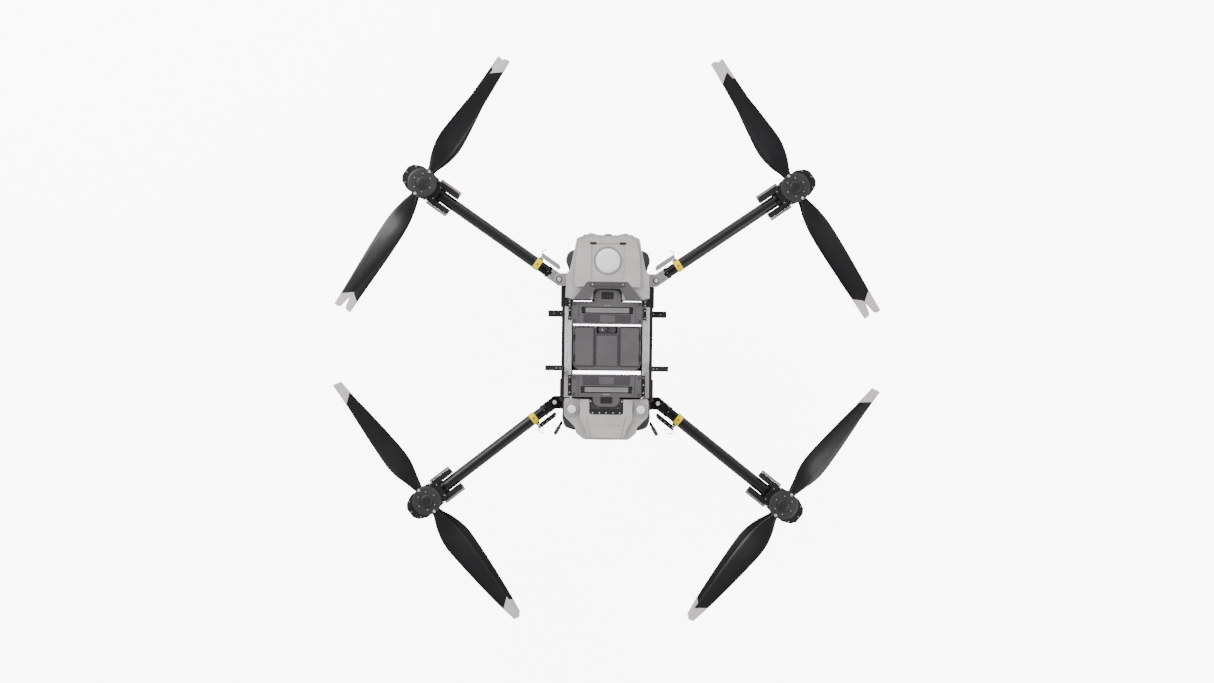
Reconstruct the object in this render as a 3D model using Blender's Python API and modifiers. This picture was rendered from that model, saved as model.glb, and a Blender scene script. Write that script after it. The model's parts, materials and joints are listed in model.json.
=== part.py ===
"""Folding cargo drone: four folding arms, eight coaxial rotors, two lift-out batteries and a winch bay.

Frame: metres, +X to the drone's right, +Y to its nose, +Z up, the ground at Z = 0.
"""
import math

import bmesh
import bpy
from mathutils import Matrix, Vector

# Driving dimensions
PROP_RADIUS = 0.6875
BLADE_PIVOT = 0.060
ROTOR_OFFSET = 0.115
TUBE_RADIUS = 0.027
TUBE_ROOT_RADIUS = 0.024
PIN_RADIUS = 0.010
PIN_CLEARANCE = 0.0004
GAP = 0.0005
LATCH_PIVOT = 0.125
LATCH_SIDE = 0.0455
DECK_Z = 0.600
RAIL_Z = 0.775
RAIL_TOP = 0.815
BAY_HALF_WIDTH = 0.1615
WALL = 0.003
# The body's layout is measured from the middle of its bays; this moves it to the middle of the outline
ORIGIN_Y = 0.02634

# Front and rear arms on the +X side: hinge pin, hub centre, tube height, rest lines of the two blade pairs
PAIRS = {
    "f": {"pin": (0.224, 0.298), "hub": (0.858, 0.734), "z": 0.812, "blades": (122.8, 121.8), "side": -1},
    "r": {"pin": (0.240, -0.271), "hub": (0.8275, -0.734), "z": 0.632, "blades": (52.7, 50.2), "side": 1},
}


def mirrored_arm(arm):
    """The same arm on the -X side."""
    return {
        "pin": (-arm["pin"][0], arm["pin"][1]),
        "hub": (-arm["hub"][0], arm["hub"][1]),
        "z": arm["z"],
        "blades": tuple(180 - turn for turn in arm["blades"]),
        "side": -arm["side"],
    }


ARMS = {}
for pair_key, pair in PAIRS.items():
    ARMS[pair_key + "l"] = mirrored_arm(pair)
    ARMS[pair_key + "r"] = pair

for old in list(bpy.data.objects):
    bpy.data.objects.remove(old, do_unlink=True)
PARTS = bpy.data.collections.new("cargo_drone")
CUTTERS = bpy.data.collections.new("cutters")
CUTTERS.hide_render = True
for collection in (PARTS, CUTTERS):
    bpy.context.scene.collection.children.link(collection)

MATERIALS = {}


def material(name, colour, roughness, metallic=0.0):
    """A Principled material with this colour (linear RGB), roughness and metallic value."""
    made = bpy.data.materials.new(name)
    made.use_nodes = True
    shader = made.node_tree.nodes["Principled BSDF"]
    shader.inputs["Base Color"].default_value = (*colour, 1.0)
    shader.inputs["Roughness"].default_value = roughness
    shader.inputs["Metallic"].default_value = metallic
    MATERIALS[name] = made


material("shell_grey", (0.50, 0.48, 0.46), 0.45)
material("battery_grey", (0.16, 0.15, 0.155), 0.55)
material("lid_white", (0.82, 0.80, 0.84), 0.4)
material("carbon_black", (0.012, 0.012, 0.013), 0.3)
material("frame_black", (0.02, 0.02, 0.021), 0.5)
material("rail_silver", (0.70, 0.70, 0.71), 0.3, 1.0)
material("bracket_grey", (0.35, 0.34, 0.34), 0.4, 0.8)
material("tray_grey", (0.10, 0.10, 0.10), 0.5)
material("steel", (0.5, 0.5, 0.5), 0.3, 1.0)


def new_object(name, bm):
    """A mesh object made from bm, which is freed, in the parts collection."""
    mesh = bpy.data.meshes.new(name)
    bmesh.ops.recalc_face_normals(bm, faces=bm.faces)
    bm.to_mesh(mesh)
    bm.free()
    made = bpy.data.objects.new(name, mesh)
    PARTS.objects.link(made)
    return made


def box(low, high, bevel=0.0, name="box"):
    """A box between two corners, with all its edges bevelled when bevel is set."""
    bm = bmesh.new()
    centre = [(a + b) / 2 for a, b in zip(low, high)]
    size = [abs(b - a) for a, b in zip(low, high)]
    bmesh.ops.create_cube(bm, size=1.0, matrix=Matrix.Translation(centre) @ Matrix.Diagonal((*size, 1.0)))
    made = new_object(name, bm)
    if bevel:
        soften(made, bevel)
    return made


def soften(obj, width, segments=1, angle=40):
    """Adds a Bevel to the edges that turn by more than angle degrees."""
    bevel = obj.modifiers.new("edge", "BEVEL")
    bevel.width = width
    bevel.segments = segments
    bevel.limit_method = "ANGLE"
    bevel.angle_limit = math.radians(angle)
    return obj


def rod(start, end, radius, sides=16, radius_end=None, name="rod"):
    """A closed cylinder, or a cone, between two points."""
    start, end = Vector(start), Vector(end)
    along = end - start
    turn = Vector((0, 0, 1)).rotation_difference(along).to_matrix().to_4x4()
    bm = bmesh.new()
    bmesh.ops.create_cone(
        bm, cap_ends=True, segments=sides,
        radius1=radius, radius2=radius if radius_end is None else radius_end,
        depth=along.length, matrix=Matrix.Translation((start + end) / 2) @ turn)
    return new_object(name, bm)


def to_mesh(curve_object):
    """Turns a curve object into a mesh object with welded caps, so that Booleans can use it."""
    bpy.context.view_layer.update()
    graph = bpy.context.evaluated_depsgraph_get()
    mesh = bpy.data.meshes.new_from_object(curve_object.evaluated_get(graph))
    bm = bmesh.new()
    bm.from_mesh(mesh)
    bmesh.ops.remove_doubles(bm, verts=bm.verts, dist=1e-6)
    made = new_object(curve_object.name, bm)
    made.data.transform(curve_object.matrix_world)
    bpy.data.objects.remove(curve_object, do_unlink=True)
    return made


def plate(points, z_low, z_high, bevel=0.0, name="plate"):
    """A flat outline in XY raised from z_low to z_high."""
    curve = bpy.data.curves.new(name, "CURVE")
    curve.dimensions = "2D"
    curve.fill_mode = "BOTH"
    curve.extrude = (z_high - z_low) / 2
    spline = curve.splines.new("POLY")
    spline.points.add(len(points) - 1)
    for point, (x, y) in zip(spline.points, points):
        point.co = (x, y, 0, 1)
    spline.use_cyclic_u = True
    flat = bpy.data.objects.new(name, curve)
    flat.location.z = (z_low + z_high) / 2
    PARTS.objects.link(flat)
    made = to_mesh(flat)
    if bevel:
        soften(made, bevel)
    return made


def wire(points, radius, name="wire", resolution=1):
    """A bent wire or strut through the points."""
    curve = bpy.data.curves.new(name, "CURVE")
    curve.dimensions = "3D"
    curve.bevel_depth = radius
    curve.bevel_resolution = resolution
    curve.use_fill_caps = True
    spline = curve.splines.new("POLY")
    spline.points.add(len(points) - 1)
    for point, place in zip(spline.points, points):
        point.co = (*place, 1)
    made = bpy.data.objects.new(name, curve)
    PARTS.objects.link(made)
    return to_mesh(made)


def turned(profile, sides=14, name="turned"):
    """A solid of revolution about Z, from a profile of (radius, z) that runs from the top to the bottom."""
    bm = bmesh.new()
    points = [bm.verts.new((radius, 0, z)) for radius, z in profile]
    for upper, lower in zip(points, points[1:]):
        bm.edges.new((upper, lower))
    mesh = bpy.data.meshes.new(name)
    bm.to_mesh(mesh)
    bm.free()
    made = bpy.data.objects.new(name, mesh)
    PARTS.objects.link(made)
    screw = made.modifiers.new("turn", "SCREW")
    screw.steps = screw.render_steps = sides
    screw.use_merge_vertices = True
    screw.merge_threshold = 1e-5
    return made


def combine(base, others, operation):
    """Adds one exact Boolean per helper, and keeps each helper with its base in the cutters collection."""
    for other in others:
        boolean = base.modifiers.new("shape", "BOOLEAN")
        boolean.operation = operation
        boolean.object = other
        other.parent = base
        PARTS.objects.unlink(other)
        CUTTERS.objects.link(other)
        other.hide_render = True
        other.display_type = "WIRE"


def part(name, base, finish, join=(), cut=(), place=None):
    """Names a sub-part, fuses its pieces, makes its cuts, gives it its finish, and puts it in place."""
    combine(base, join, "UNION")
    combine(base, cut, "DIFFERENCE")
    base.name = name
    base.data.name = name
    base.data.materials.clear()
    base.data.materials.append(MATERIALS[finish])
    base.data.shade_smooth()
    base.data.set_sharp_from_angle(angle=math.radians(35))
    if place is not None:
        base.matrix_world = place
    return base


def mirrored(points):
    """A whole outline from the points of its +X half."""
    return list(points) + [(-x, y) for x, y in reversed(points)]


# ---------------------------------------------------------------- arms and rotors

def arm_frame(arm):
    """The arm's matrix: origin on the hinge pin, local +X along the tube to the hub; and the arm's length."""
    (px, py), (hx, hy) = arm["pin"], arm["hub"]
    along = math.atan2(hy - py, hx - px)
    matrix = Matrix.Translation((px, py, arm["z"])) @ Matrix.Rotation(along, 4, "Z")
    return matrix, math.hypot(hx - px, hy - py)


def build_arm(key, arm):
    """Carbon tube with its thinner root, the clamp collar and the hinge knuckle bored for the pin."""
    place, length = arm_frame(arm)
    knuckle = rod((0, 0, -0.0225), (0, 0, 0.0225), 0.0275, 20)
    block = box((0.0, -0.0265, -0.0225), (0.052, 0.0265, 0.0225), 0.003)
    root = rod((0.04, 0, 0), (0.14, 0, 0), TUBE_ROOT_RADIUS, 16)
    collar = rod((0.1085, 0, 0), (0.1365, 0, 0), TUBE_RADIUS + 0.0015, 16)
    tube = rod((0.130, 0, 0), (length - 0.0485, 0, 0), TUBE_RADIUS, 16)
    lug = box((0.113, arm["side"] * -0.036, -0.008), (0.133, arm["side"] * -0.018, 0.008))
    bore = rod((0, 0, -0.05), (0, 0, 0.05), PIN_RADIUS + PIN_CLEARANCE, 16)
    part(f"arm_{key}", knuckle, "carbon_black", [block, root, collar, tube, lug], [bore], place)


def build_latch(key, arm):
    """Over-centre latch lever on the side of the arm root, with its double wire loop; origin on its pivot."""
    place, _ = arm_frame(arm)
    side = -arm["side"]
    place = place @ Matrix.Translation((LATCH_PIVOT, side * LATCH_SIDE, 0))
    lever = box((-0.100, side * -0.007, -0.012), (0.008, side * 0.012, 0.012), 0.002)
    loop = [(0.000, 0), (0.012, side * 0.012), (0.012, side * 0.024), (0.002, side * 0.034)]
    wires = [wire([(x, y, z) for x, y in loop], 0.0022) for z in (-0.008, 0.008)]
    bridge = rod((0.002, side * 0.034, -0.010), (0.002, side * 0.034, 0.010), 0.003, 8)
    part(f"arm_latch_{key}", lever, "bracket_grey", [*wires, bridge], (), place)


def build_motor_mount(key, arm):
    """Motor pod: six-sided housing on the tube's end, two finned speed controllers and both stators."""
    place, length = arm_frame(arm)
    outline = [(-0.088, 0.036), (-0.045, 0.060), (0.045, 0.065), (0.085, 0.046), (0.100, 0.024)]
    outline += [(x, -y) for x, y in reversed(outline)]
    housing = plate(outline, -0.040, 0.040, 0.006)
    blocks = [box((-0.175, side * 0.0285, -0.026), (-0.055, side * 0.068, 0.026), 0.003)
              for side in (1, -1)]
    stators = [rod((0, 0, up * 0.03), (0, 0, up * 0.084), 0.043, 20) for up in (1, -1)]
    socket = rod((-0.2, 0, 0), (-0.045, 0, 0), TUBE_RADIUS + 0.0004, 16)
    place = place @ Matrix.Translation((length, 0, 0))
    part(f"motor_mount_{key}", housing, "frame_black", [*blocks, *stators], [socket], place)


HUB_PROFILE = (
    (0, 0.020), (0.026, 0.020), (0.029, 0.017), (0.029, 0.0095), (0.067, 0.0095), (0.067, 0.0060),
    (0.018, 0.0060), (0.018, -0.0060), (0.067, -0.0060), (0.067, -0.0095), (0.032, -0.0095),
    (0.032, -0.017), (0.052, -0.017), (0.057, -0.022), (0.057, -0.070), (0.049, -0.070),
    (0.049, -0.027), (0, -0.027),
)


def rotor_frame(arm, level):
    """Origin on the rotor's axis in its blade plane, local +Z away from the arm; level is 1 above and -1 below."""
    hx, hy = arm["hub"]
    turn = math.radians(arm["blades"][0 if level > 0 else 1])
    flip = Matrix.Rotation(0 if level > 0 else math.pi, 4, "X")
    return Matrix.Translation((hx, hy, arm["z"] + level * ROTOR_OFFSET)) @ Matrix.Rotation(turn, 4, "Z") @ flip


def build_hub(name, place):
    """Rotor: motor bell, two clamp plates and centre cap, with the two bolts that the blades fold on."""
    body = turned(HUB_PROFILE)
    bolts = [rod((side * BLADE_PIVOT, 0, -0.008), (side * BLADE_PIVOT, 0, 0.013), 0.0045, 8)
             for side in (1, -1)]
    part(name, body, "frame_black", bolts, (), place)


# Blade stations: share of the prop radius, chord, how far the chord's middle leads, thickness, pitch in degrees
BLADE_STATIONS = (
    (0.069, 0.012, 0.000, 0.0090, 0), (0.079, 0.0225, 0.000, 0.0095, 0), (0.093, 0.027, 0.000, 0.0095, 0),
    (0.125, 0.040, 0.000, 0.0095, 0), (0.21, 0.078, 0.004, 0.0085, 4), (0.33, 0.105, 0.006, 0.0100, 15),
    (0.50, 0.095, 0.002, 0.0080, 12), (0.70, 0.073, -0.003, 0.0060, 9), (0.86, 0.052, -0.008, 0.0045, 7),
    (1.00, 0.031, -0.015, 0.0030, 6),
)
AIRFOIL = (
    (0.5, 0.0), (0.32, 0.42), (0.05, 0.5), (-0.25, 0.28),
    (-0.5, 0.0), (-0.25, -0.12), (0.05, -0.30), (0.32, -0.38),
)


def build_blade(name, place, spin):
    """One folding blade, lofted from its stations, with a flat bored root; origin on its fold bolt."""
    bm = bmesh.new()
    rings = []
    for share, chord, lead, thickness, pitch in BLADE_STATIONS:
        tilt = Matrix.Rotation(math.radians(pitch) * spin, 3, "X")
        ring = []
        for across, high in AIRFOIL:
            offset = tilt @ Vector((0, spin * (across * chord + lead), high * thickness))
            ring.append(bm.verts.new(Vector((share * PROP_RADIUS - BLADE_PIVOT, 0, 0)) + offset))
        rings.append(ring)
    for inner, outer in zip(rings, rings[1:]):
        for i in range(len(AIRFOIL)):
            j = (i + 1) % len(AIRFOIL)
            bm.faces.new((inner[i], inner[j], outer[j], outer[i]))
    bm.faces.new(rings[0])
    bm.faces.new(rings[-1])
    hole = rod((0, 0, -0.02), (0, 0, 0.02), 0.0052, 8)
    part(name, new_object(name, bm), "carbon_black", (), [hole], place)


def build_rotor(key, arm, level):
    """Hub and both blades of one rotor; the upper and lower rotors turn opposite ways."""
    word = "upper" if level > 0 else "lower"
    place = rotor_frame(arm, level)
    build_hub(f"{word}_hub_{key}", place)
    for letter, half_turn in (("a", 0), ("b", math.pi)):
        blade_place = place @ Matrix.Rotation(half_turn, 4, "Z") @ Matrix.Translation((BLADE_PIVOT, 0, 0))
        build_blade(f"{word}_blade_{letter}_{key}", blade_place, arm["side"])


# ---------------------------------------------------------------- body

def clevis(key):
    """Two hinge plates, the wall that carries them and the pin; a list of pieces that overlap each other."""
    (px, py), z = ARMS[key]["pin"], ARMS[key]["z"]
    side = 1 if px > 0 else -1
    wall_x = px - side * 0.031
    ears = [box((wall_x - side * 0.012, py - 0.030, z + low), (px + side * 0.020, py + 0.030, z + high))
            for low, high in ((-0.033, -0.0235), (0.0235, 0.033))]
    wall = box((wall_x - side * 0.014, py - 0.032, z - 0.036), (wall_x, py + 0.032, z + 0.036))
    pin = rod((px, py, z - 0.038), (px, py, z + 0.038), PIN_RADIUS, 16)
    return [*ears, wall, pin]


def build_chassis():
    """Open tub with the two battery bays and the winch bay, and the gaps between them that go right through."""
    half = BAY_HALF_WIDTH + WALL
    tub = box((-half, -0.2475, DECK_Z), (half, 0.2025, RAIL_Z - GAP), 0.004)
    floor = DECK_Z + 0.010
    bays = [box((-BAY_HALF_WIDTH, low, floor), (BAY_HALF_WIDTH, high, 0.9))
            for low, high in ((-0.2445, -0.1385), (-0.1265, 0.0885), (0.0935, 0.1995))]
    hatch = box((-0.045, -0.060, 0.5), (0.045, 0.030, 0.62))
    gaps = [box((-0.158, low, 0.5), (0.158, high, 0.9)) for low, high in ((-0.1385, -0.1228), (0.0872, 0.0940))]
    gaps += [box((side * 0.072, 0.1985, 0.5), (side * 0.158, 0.3, 0.9)) for side in (1, -1)]
    part("chassis", tub, "frame_black", (), [*bays, hatch, *gaps])


def build_trays():
    """Nose and tail trays under the covers, with the arm hinges on their sides."""
    nose = mirrored([(0.150, 0.441), (0.186, 0.425), (0.197, 0.386), (0.180, 0.345), (0.178, 0.2035)])
    pieces = clevis("fl") + clevis("fr")
    part("front_tray", plate(nose, DECK_Z, 0.800, 0.006), "tray_grey", pieces)
    tail = mirrored([(0.200, -0.2485), (0.205, -0.344), (0.192, -0.385), (0.150, -0.400)])
    pieces = clevis("rl") + clevis("rr")
    part("rear_tray", plate(tail, DECK_Z - 0.018, 0.690, 0.006), "tray_grey", pieces)


NOSE_OUTLINE = ((0.045, 0.507), (0.080, 0.517), (0.146, 0.491), (0.160, 0.420), (0.176, 0.345),
                (0.195, 0.323), (0.195, 0.215), (0.162, 0.2035))
TAIL_OUTLINE = ((0.196, -0.2485), (0.196, -0.331), (0.142, -0.388), (0.142, -0.410), (0.106, -0.441))


def build_front_cover():
    """Nose cover with the parachute well, the battery's front notch and room for the arm hinges."""
    shell = plate(mirrored(NOSE_OUTLINE), 0.8005, 0.885, 0.014)
    peak_outline = [(0.070, 0.500), (0.132, 0.476), (0.146, 0.410), (0.150, 0.300), (0.150, 0.262)]
    peak = plate(mirrored(peak_outline), 0.870, 0.897, 0.010)
    well = rod((0, 0.386, 0.820), (0, 0.386, 1.0), 0.0635, 24)
    tongue = box((-0.066, 0.19, 0.8505), (0.066, 0.258, 0.95))
    notches = [box((side * 0.176, 0.262, 0.7), (side * 0.26, 0.334, 0.8505)) for side in (1, -1)]
    part("front_cover", shell, "shell_grey", [peak], [well, tongue, *notches])


def build_rear_cover():
    """Tail cover with its raised back, the rear battery's notch and the two aerial seats."""
    shell = plate(mirrored(TAIL_OUTLINE), 0.6905, 0.866, 0.009)
    crown = plate(mirrored([(0.120, -0.252), (0.120, -0.380), (0.090, -0.425)]),
                  0.850, 0.882, 0.008)
    tongue = box((-0.066, -0.292, 0.8505), (0.066, -0.23, 0.95))
    part("rear_cover", shell, "shell_grey", [crown], [tongue])


def build_parachute():
    """Round canister in the nose well, and the lid that lifts off it."""
    canister = rod((0, 0.386, 0.8205), (0, 0.386, 0.8845), 0.0625, 24)
    hollow = rod((0, 0.386, 0.8280), (0, 0.386, 0.95), 0.0570, 24)
    part("parachute_canister", canister, "frame_black", (), [hollow])
    lid = turned([(0, 0.900), (0.050, 0.898), (0.056, 0.892), (0.0620, 0.890), (0.0620, 0.8850),
                  (0.0560, 0.8850), (0.0560, 0.8800), (0, 0.8800)], 24)
    part("parachute_lid", lid, "lid_white", place=Matrix.Translation((0, 0.386, 0)))


def build_battery(end, low, high, tongue_y):
    """Slide-in battery with its tongue over the cover, its carrying handle and its latch button."""
    top = 0.880
    pack = box((-0.1605, low, DECK_Z + 0.0105), (0.1605, high, top), 0.006)
    inner = (low + high) / 2
    tongue = box((-0.062, min(inner, tongue_y), 0.8515), (0.062, max(inner, tongue_y), top - 0.001), 0.003)
    handle_y = 0.158 if end == "front" else -0.208
    slot = box((-0.119, handle_y - 0.0155, top - 0.014), (0.119, handle_y + 0.0155, top + 0.1))
    button_y = 0.2255 if end == "front" else -0.2555
    seat = box((-0.027, button_y - 0.0155, top - 0.014), (0.027, button_y + 0.0155, top + 0.1))
    part(f"{end}_battery", pack, "battery_grey", [tongue], [slot, seat])
    bar = box((-0.117, -0.0035, -0.0055), (0.117, 0.0195, 0.0055), 0.002)
    place = Matrix.Translation((0, handle_y - 0.008, top - 0.0065))
    part(f"{end}_battery_handle", bar, "battery_grey", place=place)
    button = box((-0.026, -0.0145, -0.008), (0.026, 0.0145, 0.004), 0.002)
    place = Matrix.Translation((0, button_y, top - 0.003))
    part(f"{end}_battery_latch", button, "frame_black", place=place)


def build_winch():
    """Winch housing in the centre bay, its drum on an axle across the bay, and the hook under the hatch."""
    outline = mirrored([(0.157, 0.086), (0.157, -0.100), (0.135, -0.1215)])
    housing = plate(outline, DECK_Z + 0.0105, 0.872, 0.006)
    notch = box((-0.0475, 0.052, 0.850), (0.0475, 0.12, 0.95))
    module = box((-0.030, 0.055, 0.835), (0.030, 0.083, 0.862), 0.003)
    cavity = box((-0.070, -0.070, 0.55), (0.070, 0.040, 0.725))
    axle = rod((-0.080, -0.015, 0.670), (0.080, -0.015, 0.670), 0.008, 12)
    part("winch_housing", housing, "battery_grey", (), [notch, cavity])
    combine(bpy.data.objects["winch_housing"], [module, axle], "UNION")
    drum = rod((-0.058, 0, 0), (0.058, 0, 0), 0.030, 20)
    flanges = [rod((side * 0.058, 0, 0), (side * 0.062, 0, 0), 0.044, 20) for side in (1, -1)]
    bore = rod((-0.1, 0, 0), (0.1, 0, 0), 0.0084, 12)
    part("winch_drum", drum, "steel", flanges, [bore], Matrix.Translation((0, -0.015, 0.670)))
    stem = rod((0, 0, -0.004), (0, 0, -0.030), 0.008, 10)
    plug = rod((0, 0, -0.012), (0, 0, 0.004), 0.022, 16)
    bow = wire([(0, 0, -0.026), (0.020, 0, -0.040), (0.022, 0, -0.060), (0, 0, -0.074),
                (-0.022, 0, -0.060)], 0.005)
    part("lifting_hook", plug, "steel", [stem, bow], (), Matrix.Translation((0, -0.015, 0.595)))


def build_rail(word, side):
    """Bright side rail, with its outer beam and the clamp that holds the folded front arm."""
    rail = box((side * 0.1625, -0.245, RAIL_Z), (side * 0.196, 0.175, RAIL_TOP), 0.002)
    beam = box((side * 0.190, -0.235, RAIL_Z + 0.004), (side * 0.206, 0.168, RAIL_TOP - 0.006), 0.003)
    z = ARMS["fl"]["z"]
    back = box((side * 0.200, -0.1225, RAIL_Z), (side * 0.2385, -0.0975, z + 0.040), 0.003)
    jaws = [box((side * 0.225, -0.1225, min(low, high)), (side * 0.285, -0.0975, max(low, high)), 0.002)
            for low, high in ((z + 0.030, z + 0.040), (z - 0.037, z - 0.030))]
    part(f"rail_{word}", rail, "rail_silver", [beam, back, *jaws])


def build_leg_frame(word, side):
    """Lower side beam with two upright legs, a skid, and the clamp that holds the folded rear arm."""
    beam = box((side * 0.1655, -0.235, 0.605), (side * 0.212, 0.196, 0.660), 0.004)
    legs = [wire([(side * 0.184, y, 0.625), (side * 0.184, y * 1.25, 0.016)], 0.0125, resolution=2)
            for y in (0.165, -0.165)]
    skid = rod((side * 0.184, -0.290, 0.0130), (side * 0.184, 0.300, 0.0130), 0.0130, 12)
    z = ARMS["rl"]["z"]
    back = box((side * 0.205, 0.1265, z - 0.038), (side * 0.2530, 0.1575, z + 0.038), 0.003)
    jaws = [box((side * 0.245, 0.1265, min(low, high)), (side * 0.276, 0.1575, max(low, high)), 0.002)
            for low, high in ((z + 0.030, z + 0.038), (z - 0.038, z - 0.030))]
    part(f"leg_frame_{word}", beam, "frame_black", [*legs, skid, back, *jaws])


def build_antennas(word, side):
    """Rod aerial that tilts on the tail's side, and the satellite dome on the tail cover."""
    foot = rod((-0.006, 0, 0), (0.006, 0, 0), 0.009, 12)
    mast = rod((0, 0, 0), (side * 0.018, -0.028, -0.004), 0.007, 12)
    tip = rod((side * 0.014, -0.021, -0.003), (side * 0.031, -0.055, -0.008), 0.0095, 12)
    place = Matrix.Translation((side * 0.2085, -0.368, 0.600))
    part(f"antenna_{word}", foot, "frame_black", [mast, tip], (), place)
    dome = turned([(0, 0.018), (0.012, 0.0165), (0.018, 0.012), (0.020, 0.006), (0.022, 0.003),
                   (0.034, 0.003), (0.036, 0.0), (0, 0.0)], 16)
    part(f"rtk_dome_{word}", dome, "shell_grey", place=Matrix.Translation((side * 0.159, -0.299, 0.8665)))


for arm_key, arm_data in ARMS.items():
    build_arm(arm_key, arm_data)
    build_latch(arm_key, arm_data)
    build_motor_mount(arm_key, arm_data)
    build_rotor(arm_key, arm_data, 1)
    build_rotor(arm_key, arm_data, -1)
build_chassis()
build_trays()
build_front_cover()
build_rear_cover()
build_parachute()
build_battery("front", 0.095, 0.198, 0.254)
build_battery("rear", -0.243, -0.140, -0.286)
build_winch()
for side_word, side_sign in (("left", -1), ("right", 1)):
    build_rail(side_word, side_sign)
    build_leg_frame(side_word, side_sign)
    build_antennas(side_word, side_sign)
for made in PARTS.objects:
    made.location.y -= ORIGIN_Y
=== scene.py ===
"""The folding cargo drone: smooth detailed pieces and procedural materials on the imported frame."""
import json
import math

import bmesh
import bpy
from mathutils import Matrix, Vector


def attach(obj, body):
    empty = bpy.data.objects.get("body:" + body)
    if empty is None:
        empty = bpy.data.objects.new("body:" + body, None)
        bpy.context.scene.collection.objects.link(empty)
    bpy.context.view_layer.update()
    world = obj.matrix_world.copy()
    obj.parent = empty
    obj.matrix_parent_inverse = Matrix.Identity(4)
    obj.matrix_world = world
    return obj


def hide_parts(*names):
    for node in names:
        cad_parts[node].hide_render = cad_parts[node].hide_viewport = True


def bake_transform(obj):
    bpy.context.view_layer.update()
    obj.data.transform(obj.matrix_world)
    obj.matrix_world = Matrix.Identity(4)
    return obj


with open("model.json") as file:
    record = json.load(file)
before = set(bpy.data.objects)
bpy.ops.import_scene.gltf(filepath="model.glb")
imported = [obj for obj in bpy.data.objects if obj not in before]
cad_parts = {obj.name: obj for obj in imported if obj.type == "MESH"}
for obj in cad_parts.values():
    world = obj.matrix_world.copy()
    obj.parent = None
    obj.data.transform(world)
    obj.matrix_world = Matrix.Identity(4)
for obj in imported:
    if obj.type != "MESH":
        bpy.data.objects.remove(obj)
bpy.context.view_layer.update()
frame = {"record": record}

JOINTS = {joint["name"]: joint for joint in frame["record"]["behaviour"]["joints"]}

# The body's layout is measured from the middle of its bays; the front hinge pins show where that lies
FRONT_PIN_Y = 0.298
LAYOUT = Matrix.Translation((0, JOINTS["arm_fl_fold"]["pos_m"][1] - FRONT_PIN_Y, 0))
ALONG_X = Matrix.Rotation(math.pi / 2, 4, "Y")
SIDES = ((1, "right"), (-1, "left"))

ARM_KEYS = ("fl", "fr", "rl", "rr")
# The rear arms' hinge brackets, knuckles and latch levers are black, the front ones grey: the rear's black is
# painted shade, for the rear hinges lie lower, in shadow under the rear cover.
HINGE_LOOK_REAR_PAINTED_SHADE = {"f": "bracket", "r": "anodised"}
# Which way round each arm's blades curl; the arm's latch is on its other side
CURLS = {"fl": 1, "fr": -1, "rl": -1, "rr": 1}
# The mesh attribute that keeps each place on a blade, and where the pale tip starts, in metres from the bolt
BLADE_PLACE = "blade_place"
TIP_START = 0.545

# Lengths from here to the stage are in millimetres, which MM turns into metres
MM = 0.001
BLADE_PIVOT = 60
PROP_RADIUS = 687.5
TUBE_RADIUS = 27
ROOT_RADIUS = 24
LATCH_PIVOT = 125
LATCH_SIDE = 45.5
DECK_Z = 600
RAIL_Z = 775
RAIL_TOP = 815
BATTERY_TOP = 880


# ---- node-based materials

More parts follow.
